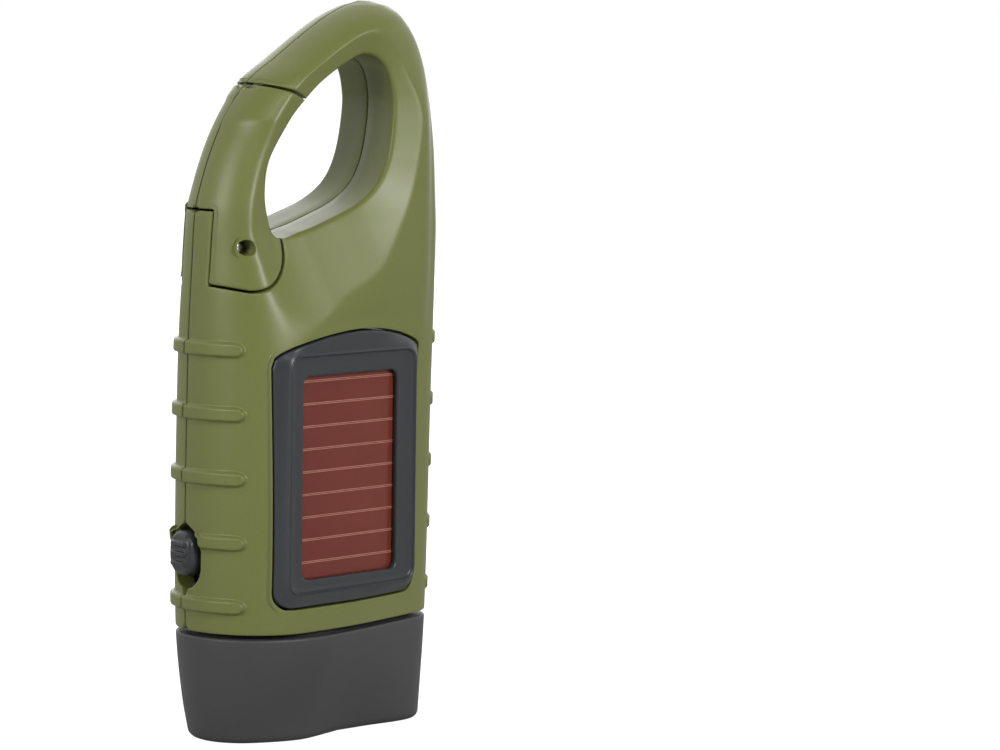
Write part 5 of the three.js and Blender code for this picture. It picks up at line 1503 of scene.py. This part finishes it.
def color_property(name, text, default):
    """A colour that the panel shows."""
    return bpy.props.FloatVectorProperty(name=name, description=text, subtype="COLOR", size=3, min=0, max=1,
                                         default=default)


def size_property(name, text, default, low, high):
    """A size in millimetres that the panel shows."""
    return bpy.props.FloatProperty(name=name, description=text, default=default, min=low, max=high)


class FlashlightSizes(bpy.types.PropertyGroup):
    wall: size_property("Shell wall", "Thickness of the shells and the gate, in millimetres", 0.9, 0.4, 1.2)
    rib_height: size_property("Rib height", "How far the grip ribs stand out, in millimetres", 0.9, 0.0, 1.2)
    arm_edge: size_property("Arm edge", "Radius of the crank arm's edges, in millimetres", 0.75, 0.2, 1.4)


class FlashlightColours(bpy.types.PropertyGroup):
    shell: color_property("Shells and gate", "Colour of the green plastic", (0.140, 0.158, 0.040))
    head: color_property("Head", "Colour of the head", (0.047, 0.047, 0.048))
    bezel: color_property("Bezel", "Colour of the frame round the solar cell", (0.028, 0.032, 0.035))
    crank: color_property("Crank", "Colour of the crank and its hub", (0.010, 0.0105, 0.012))
    switch: color_property("Switch", "Colour of the switch knob", (0.024, 0.026, 0.029))
    cell: color_property("Solar cell", "Colour of the solar cell's strips", (0.150, 0.026, 0.018))
    conductor: color_property("Conductors", "Colour of the lines between the strips", (0.50, 0.24, 0.17))


class FlashlightStage(bpy.types.PropertyGroup):
    azimuth: bpy.props.FloatProperty(
        name="Azimuth", description="Where the camera stands round the light", subtype="ANGLE",
        default=math.radians(-35))
    elevation: bpy.props.FloatProperty(
        name="Elevation", description="How high the camera stands above the horizon", subtype="ANGLE",
        default=math.radians(5.62))
    distance: bpy.props.FloatProperty(
        name="Distance", description="From the camera to the middle of the light", unit="LENGTH",
        default=0.7078)
    floor: color_property("Floor", "Colour of the floor", (0.45, 0.45, 0.45))


class Step:
    """What the operators share: run does the work and raises an error where it can't."""
    bl_options = {"REGISTER", "UNDO"}

    def execute(self, context):
        self.run(context.scene.flashlight_sizes)
        return {"FINISHED"}


class OBJECT_OT_flashlight_shells(Step, bpy.types.Operator):
    """Builds the front and rear shells with ribs, scoop, knob rest and screw holes"""
    bl_idname = "object.flashlight_shells"
    bl_label = "Shells"

    def run(self, sizes):
        for node, side in (("front_shell", -1), ("rear_shell", 1)):
            obj = mesh_object(node + "_skin", *shell_half(side, sizes.rib_height))
            fit(thicken(obj, sizes.wall), "shell", "body", node)
        fit(solid_object("hinge_tongue", tongue_parts()), "shell", "body")


class OBJECT_OT_flashlight_gate(Step, bpy.types.Operator):
    """Builds the carabiner gate"""
    bl_idname = "object.flashlight_gate"
    bl_label = "Carabiner gate"

    def run(self, sizes):
        obj = mesh_object("gate_skin", *join_halves(gate_half(-1), gate_half(1)))
        fit(thicken(obj, sizes.wall), "shell", "gate", "carabiner_gate")


class OBJECT_OT_flashlight_solar_panel(Step, bpy.types.Operator):
    """Builds the bezel round the solar cell"""
    bl_idname = "object.flashlight_solar_panel"
    bl_label = "Solar bezel"

    def run(self, sizes):
        fit(solid_object("bezel_frame", bezel_parts()), "bezel", "body", "solar_bezel")


class OBJECT_OT_flashlight_head(Step, bpy.types.Operator):
    """Builds the head round the lamps"""
    bl_idname = "object.flashlight_head"
    bl_label = "Head"

    def run(self, sizes):
        fit(solid_object("head_shroud", head_parts()), "head", "body", "head_bezel")


class OBJECT_OT_flashlight_lamps(Step, bpy.types.Operator):
    """Builds the reflector and the lamps in its bowls"""
    bl_idname = "object.flashlight_lamps"
    bl_label = "Reflector and lamps"

    def run(self, sizes):
        obj = mesh_object("reflector_bowls", *reflector_parts())
        fit(thicken(obj, REFLECTOR_WALL), "chrome", "body", "reflector")
        for i, x in enumerate(BOWLS):
            fit(solid_object(f"lamp_{i + 1}", lamp_parts(x)), "lamp", "body", f"led_{i + 1}")


class OBJECT_OT_flashlight_switch(Step, bpy.types.Operator):
    """Builds the ridged switch knob"""
    bl_idname = "object.flashlight_switch"
    bl_label = "Switch knob"

    def run(self, sizes):
        fit(solid_object("switch_knob", *slider_parts()), "switch", "switch", "switch_slider")


class OBJECT_OT_flashlight_hub(Step, bpy.types.Operator):
    """Builds the crank hub with the lug that the arm folds on"""
    bl_idname = "object.flashlight_hub"
    bl_label = "Crank hub"

    def run(self, sizes):
        fit(solid_object("hub_disc", *hub_parts()), "crank", "hub", "crank_hub")


class OBJECT_OT_flashlight_arm(Step, bpy.types.Operator):
    """Builds the crank arm with its fork and knuckles"""
    bl_idname = "object.flashlight_arm"
    bl_label = "Crank arm"

    def run(self, sizes):
        fit(solid_object("arm_plate", *arm_parts(sizes.arm_edge)), "crank", "arm", "crank_arm")


class OBJECT_OT_flashlight_knob(Step, bpy.types.Operator):
    """Builds the crank knob and its rivet"""
    bl_idname = "object.flashlight_knob"
    bl_label = "Crank knob"

    def run(self, sizes):
        fit(solid_object("knob_grip", knob_parts()), "crank", "knob", "crank_knob")
        fit(solid_object("knob_pin", rivet_parts()), "steel", "arm", "knob_rivet")


class OBJECT_OT_flashlight_pins(Step, bpy.types.Operator):
    """Builds the gate's pin, the fold pin and the case screws"""
    bl_idname = "object.flashlight_pins"
    bl_label = "Pins and screws"

    def run(self, sizes):
        gate = pin_parts(GATE_PIN_RADIUS, np.array((PIN[0], 0.0, PIN[1])), Y, GATE_PIN_REACH)
        fit(solid_object("gate_pin_steel", gate), "steel", "body", "gate_pin")
        fold = pin_parts(FOLD_PIN_RADIUS, HUB + Y * FOLD_Y, ARM_ACROSS,
                         ARM_HUB_WIDTH / 2 + FOLD_PIN_PROUD)
        fit(solid_object("fold_pin_steel", fold), "steel", "hub", "fold_pin")
        for node, (x, z) in SCREWS.items():
            fit(solid_object(node + "_head", screw_parts(x, z)), "screw", "body", node)


class OBJECT_OT_flashlight_insides(Step, bpy.types.Operator):
    """Gives the cell, the lens and the parts inside their finishes"""
    bl_idname = "object.flashlight_insides"
    bl_label = "Cell, lens and insides"

    def run(self, sizes):
        for name, nodes in CAD_FINISHES.items():
            for node in nodes:
                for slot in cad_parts[node].material_slots:
                    slot.material = finish(name)


class OBJECT_OT_flashlight_stage(bpy.types.Operator):
    """Sets up the floor, the lights and the camera"""
    bl_idname = "object.flashlight_stage"
    bl_label = "Stage"

    def execute(self, context):
        stage = context.scene.flashlight_stage
        set_camera(context.scene, stage)
        set_floor(context.scene, stage)
        set_lights(context.scene)
        return {"FINISHED"}


def set_camera(scene, stage):
    """A camera that looks at the middle of the light, turned so that this lands at its place in
    the picture, with the picture's small roll."""
    data = bpy.data.cameras.new("camera")
    data.sensor_width = SENSOR
    data.lens = FOCAL_PIXELS * SENSOR / PICTURE_PIXELS[0]
    obj = bpy.data.objects.new("camera", data)
    scene.collection.objects.link(obj)
    away = Vector((math.sin(stage.azimuth) * math.cos(stage.elevation),
                   -math.cos(stage.azimuth) * math.cos(stage.elevation), math.sin(stage.elevation)))
    forward = -away
    right = forward.cross(Vector((0, 0, 1))).normalized()
    up = right.cross(forward)
    dx = (TARGET_PIXEL[0] - PICTURE_PIXELS[0] / 2) / FOCAL_PIXELS
    dy = (PICTURE_PIXELS[1] / 2 - TARGET_PIXEL[1]) / FOCAL_PIXELS
    forward = (forward - right * dx - up * dy).normalized()
    right = forward.cross(Vector((0, 0, 1))).normalized()
    up = right.cross(forward)
    turn = Matrix((right, up, -forward)).transposed().to_4x4()
    place = Vector(to_frame((0, 0, TARGET_Z))) + away * stage.distance
    obj.matrix_world = Matrix.Translation(place) @ turn @ Matrix.Rotation(ROLL, 4, "Z")
    scene.camera = obj


def set_floor(scene, stage):
    """A pale floor. To the camera it also shines, so that it is white all round and still holds
    the light's shadow."""
    mesh = bpy.data.meshes.new("floor")
    corners = [(x * FLOOR_HALF, y * FLOOR_HALF, 0) for x, y in ((-1, -1), (1, -1), (1, 1), (-1, 1))]
    mesh.from_pydata(corners, [], [(0, 1, 2, 3)])
    floor = bpy.data.objects.new("floor", mesh)
    scene.collection.objects.link(floor)
    paint = Paint("floor", 0.9)
    paint.set("Base Color", (*stage.floor, 1))
    seen = paint.node("ShaderNodeLightPath", output="Is Camera Ray")
    glow = paint.node("ShaderNodeEmission", None, {"Color": (1, 1, 1, 1), "Strength": seen * FLOOR_GLOW})
    both = paint.node("ShaderNodeAddShader", None, {0: Wire(paint, paint.shader.outputs[0]), 1: glow})
    output = next(n for n in paint.tree.nodes if n.type == "OUTPUT_MATERIAL")
    paint.link(both, output.inputs["Surface"])
    mesh.materials.append(paint.material)


def set_lights(scene):
    """A room that is white to the camera and through glass, bright behind and beside the light and
    dark in front of it, and soft lamps."""
    scene.view_settings.view_transform = "Standard"
    world = bpy.data.worlds.new("world")
    scene.world = world
    world.use_nodes = True
    room = Tree(world.node_tree)
    seen, through = (room.node("ShaderNodeLightPath", output=name)
                     for name in ("Is Camera Ray", "Is Transmission Ray"))
    facing = room.node("ShaderNodeVectorMath", {"operation": "DOT_PRODUCT"},
                       {0: room.node("ShaderNodeTexCoord", output="Generated"),
                        1: Vector(ROOM_DARK_WAY).normalized()}, output="Value")
    light = facing.eased(*ROOM_DARK_SPAN, ROOM_BRIGHT, ROOM_DARK)
    background = room.tree.nodes["Background"]
    room.link((1, 1, 1, 1), background.inputs["Color"])
    room.link(light.larger(seen.larger(through)), background.inputs["Strength"])
    for name, where, power, size in LAMPS:
        lamp = bpy.data.lights.new(name, "AREA")
        lamp.energy, lamp.size = power, size
        obj = bpy.data.objects.new(name, lamp)
        obj.location = where
        way = Vector((0, 0, TARGET_Z / 1000)) - Vector(where)
        obj.rotation_euler = way.to_track_quat("-Z", "Y").to_euler()
        scene.collection.objects.link(obj)


OPERATORS = (
    OBJECT_OT_flashlight_stage, OBJECT_OT_flashlight_shells, OBJECT_OT_flashlight_gate,
    OBJECT_OT_flashlight_solar_panel, OBJECT_OT_flashlight_head, OBJECT_OT_flashlight_lamps,
    OBJECT_OT_flashlight_switch, OBJECT_OT_flashlight_hub, OBJECT_OT_flashlight_arm,
    OBJECT_OT_flashlight_knob, OBJECT_OT_flashlight_pins, OBJECT_OT_flashlight_insides)


class VIEW3D_PT_flashlight(bpy.types.Panel):
    """Lists the sizes, the colours and the steps that build the light"""
    bl_label = "Hand crank flashlight"
    bl_space_type = "VIEW_3D"
    bl_region_type = "UI"
    bl_category = "Flashlight"

    def draw(self, context):
        scene = context.scene
        for group in (scene.flashlight_sizes, scene.flashlight_colours, scene.flashlight_stage):
            for key in group.__annotations__:
                self.layout.prop(group, key)
        for operator in OPERATORS:
            self.layout.operator(operator.bl_idname)


GROUPS = (("flashlight_sizes", FlashlightSizes), ("flashlight_colours", FlashlightColours),
          ("flashlight_stage", FlashlightStage))


def register():
    for name, group in GROUPS:
        bpy.utils.register_class(group)
        setattr(bpy.types.Scene, name, bpy.props.PointerProperty(type=group))
    for part in (*OPERATORS, VIEW3D_PT_flashlight):
        bpy.utils.register_class(part)


def unregister():
    for part in reversed((*OPERATORS, VIEW3D_PT_flashlight)):
        bpy.utils.unregister_class(part)
    for name, group in reversed(GROUPS):
        delattr(bpy.types.Scene, name)
        bpy.utils.unregister_class(group)


def main():
    register()
    for operator in OPERATORS:
        group, name = operator.bl_idname.split(".")
        getattr(getattr(bpy.ops, group), name)()


if __name__ == "__main__":
    main()
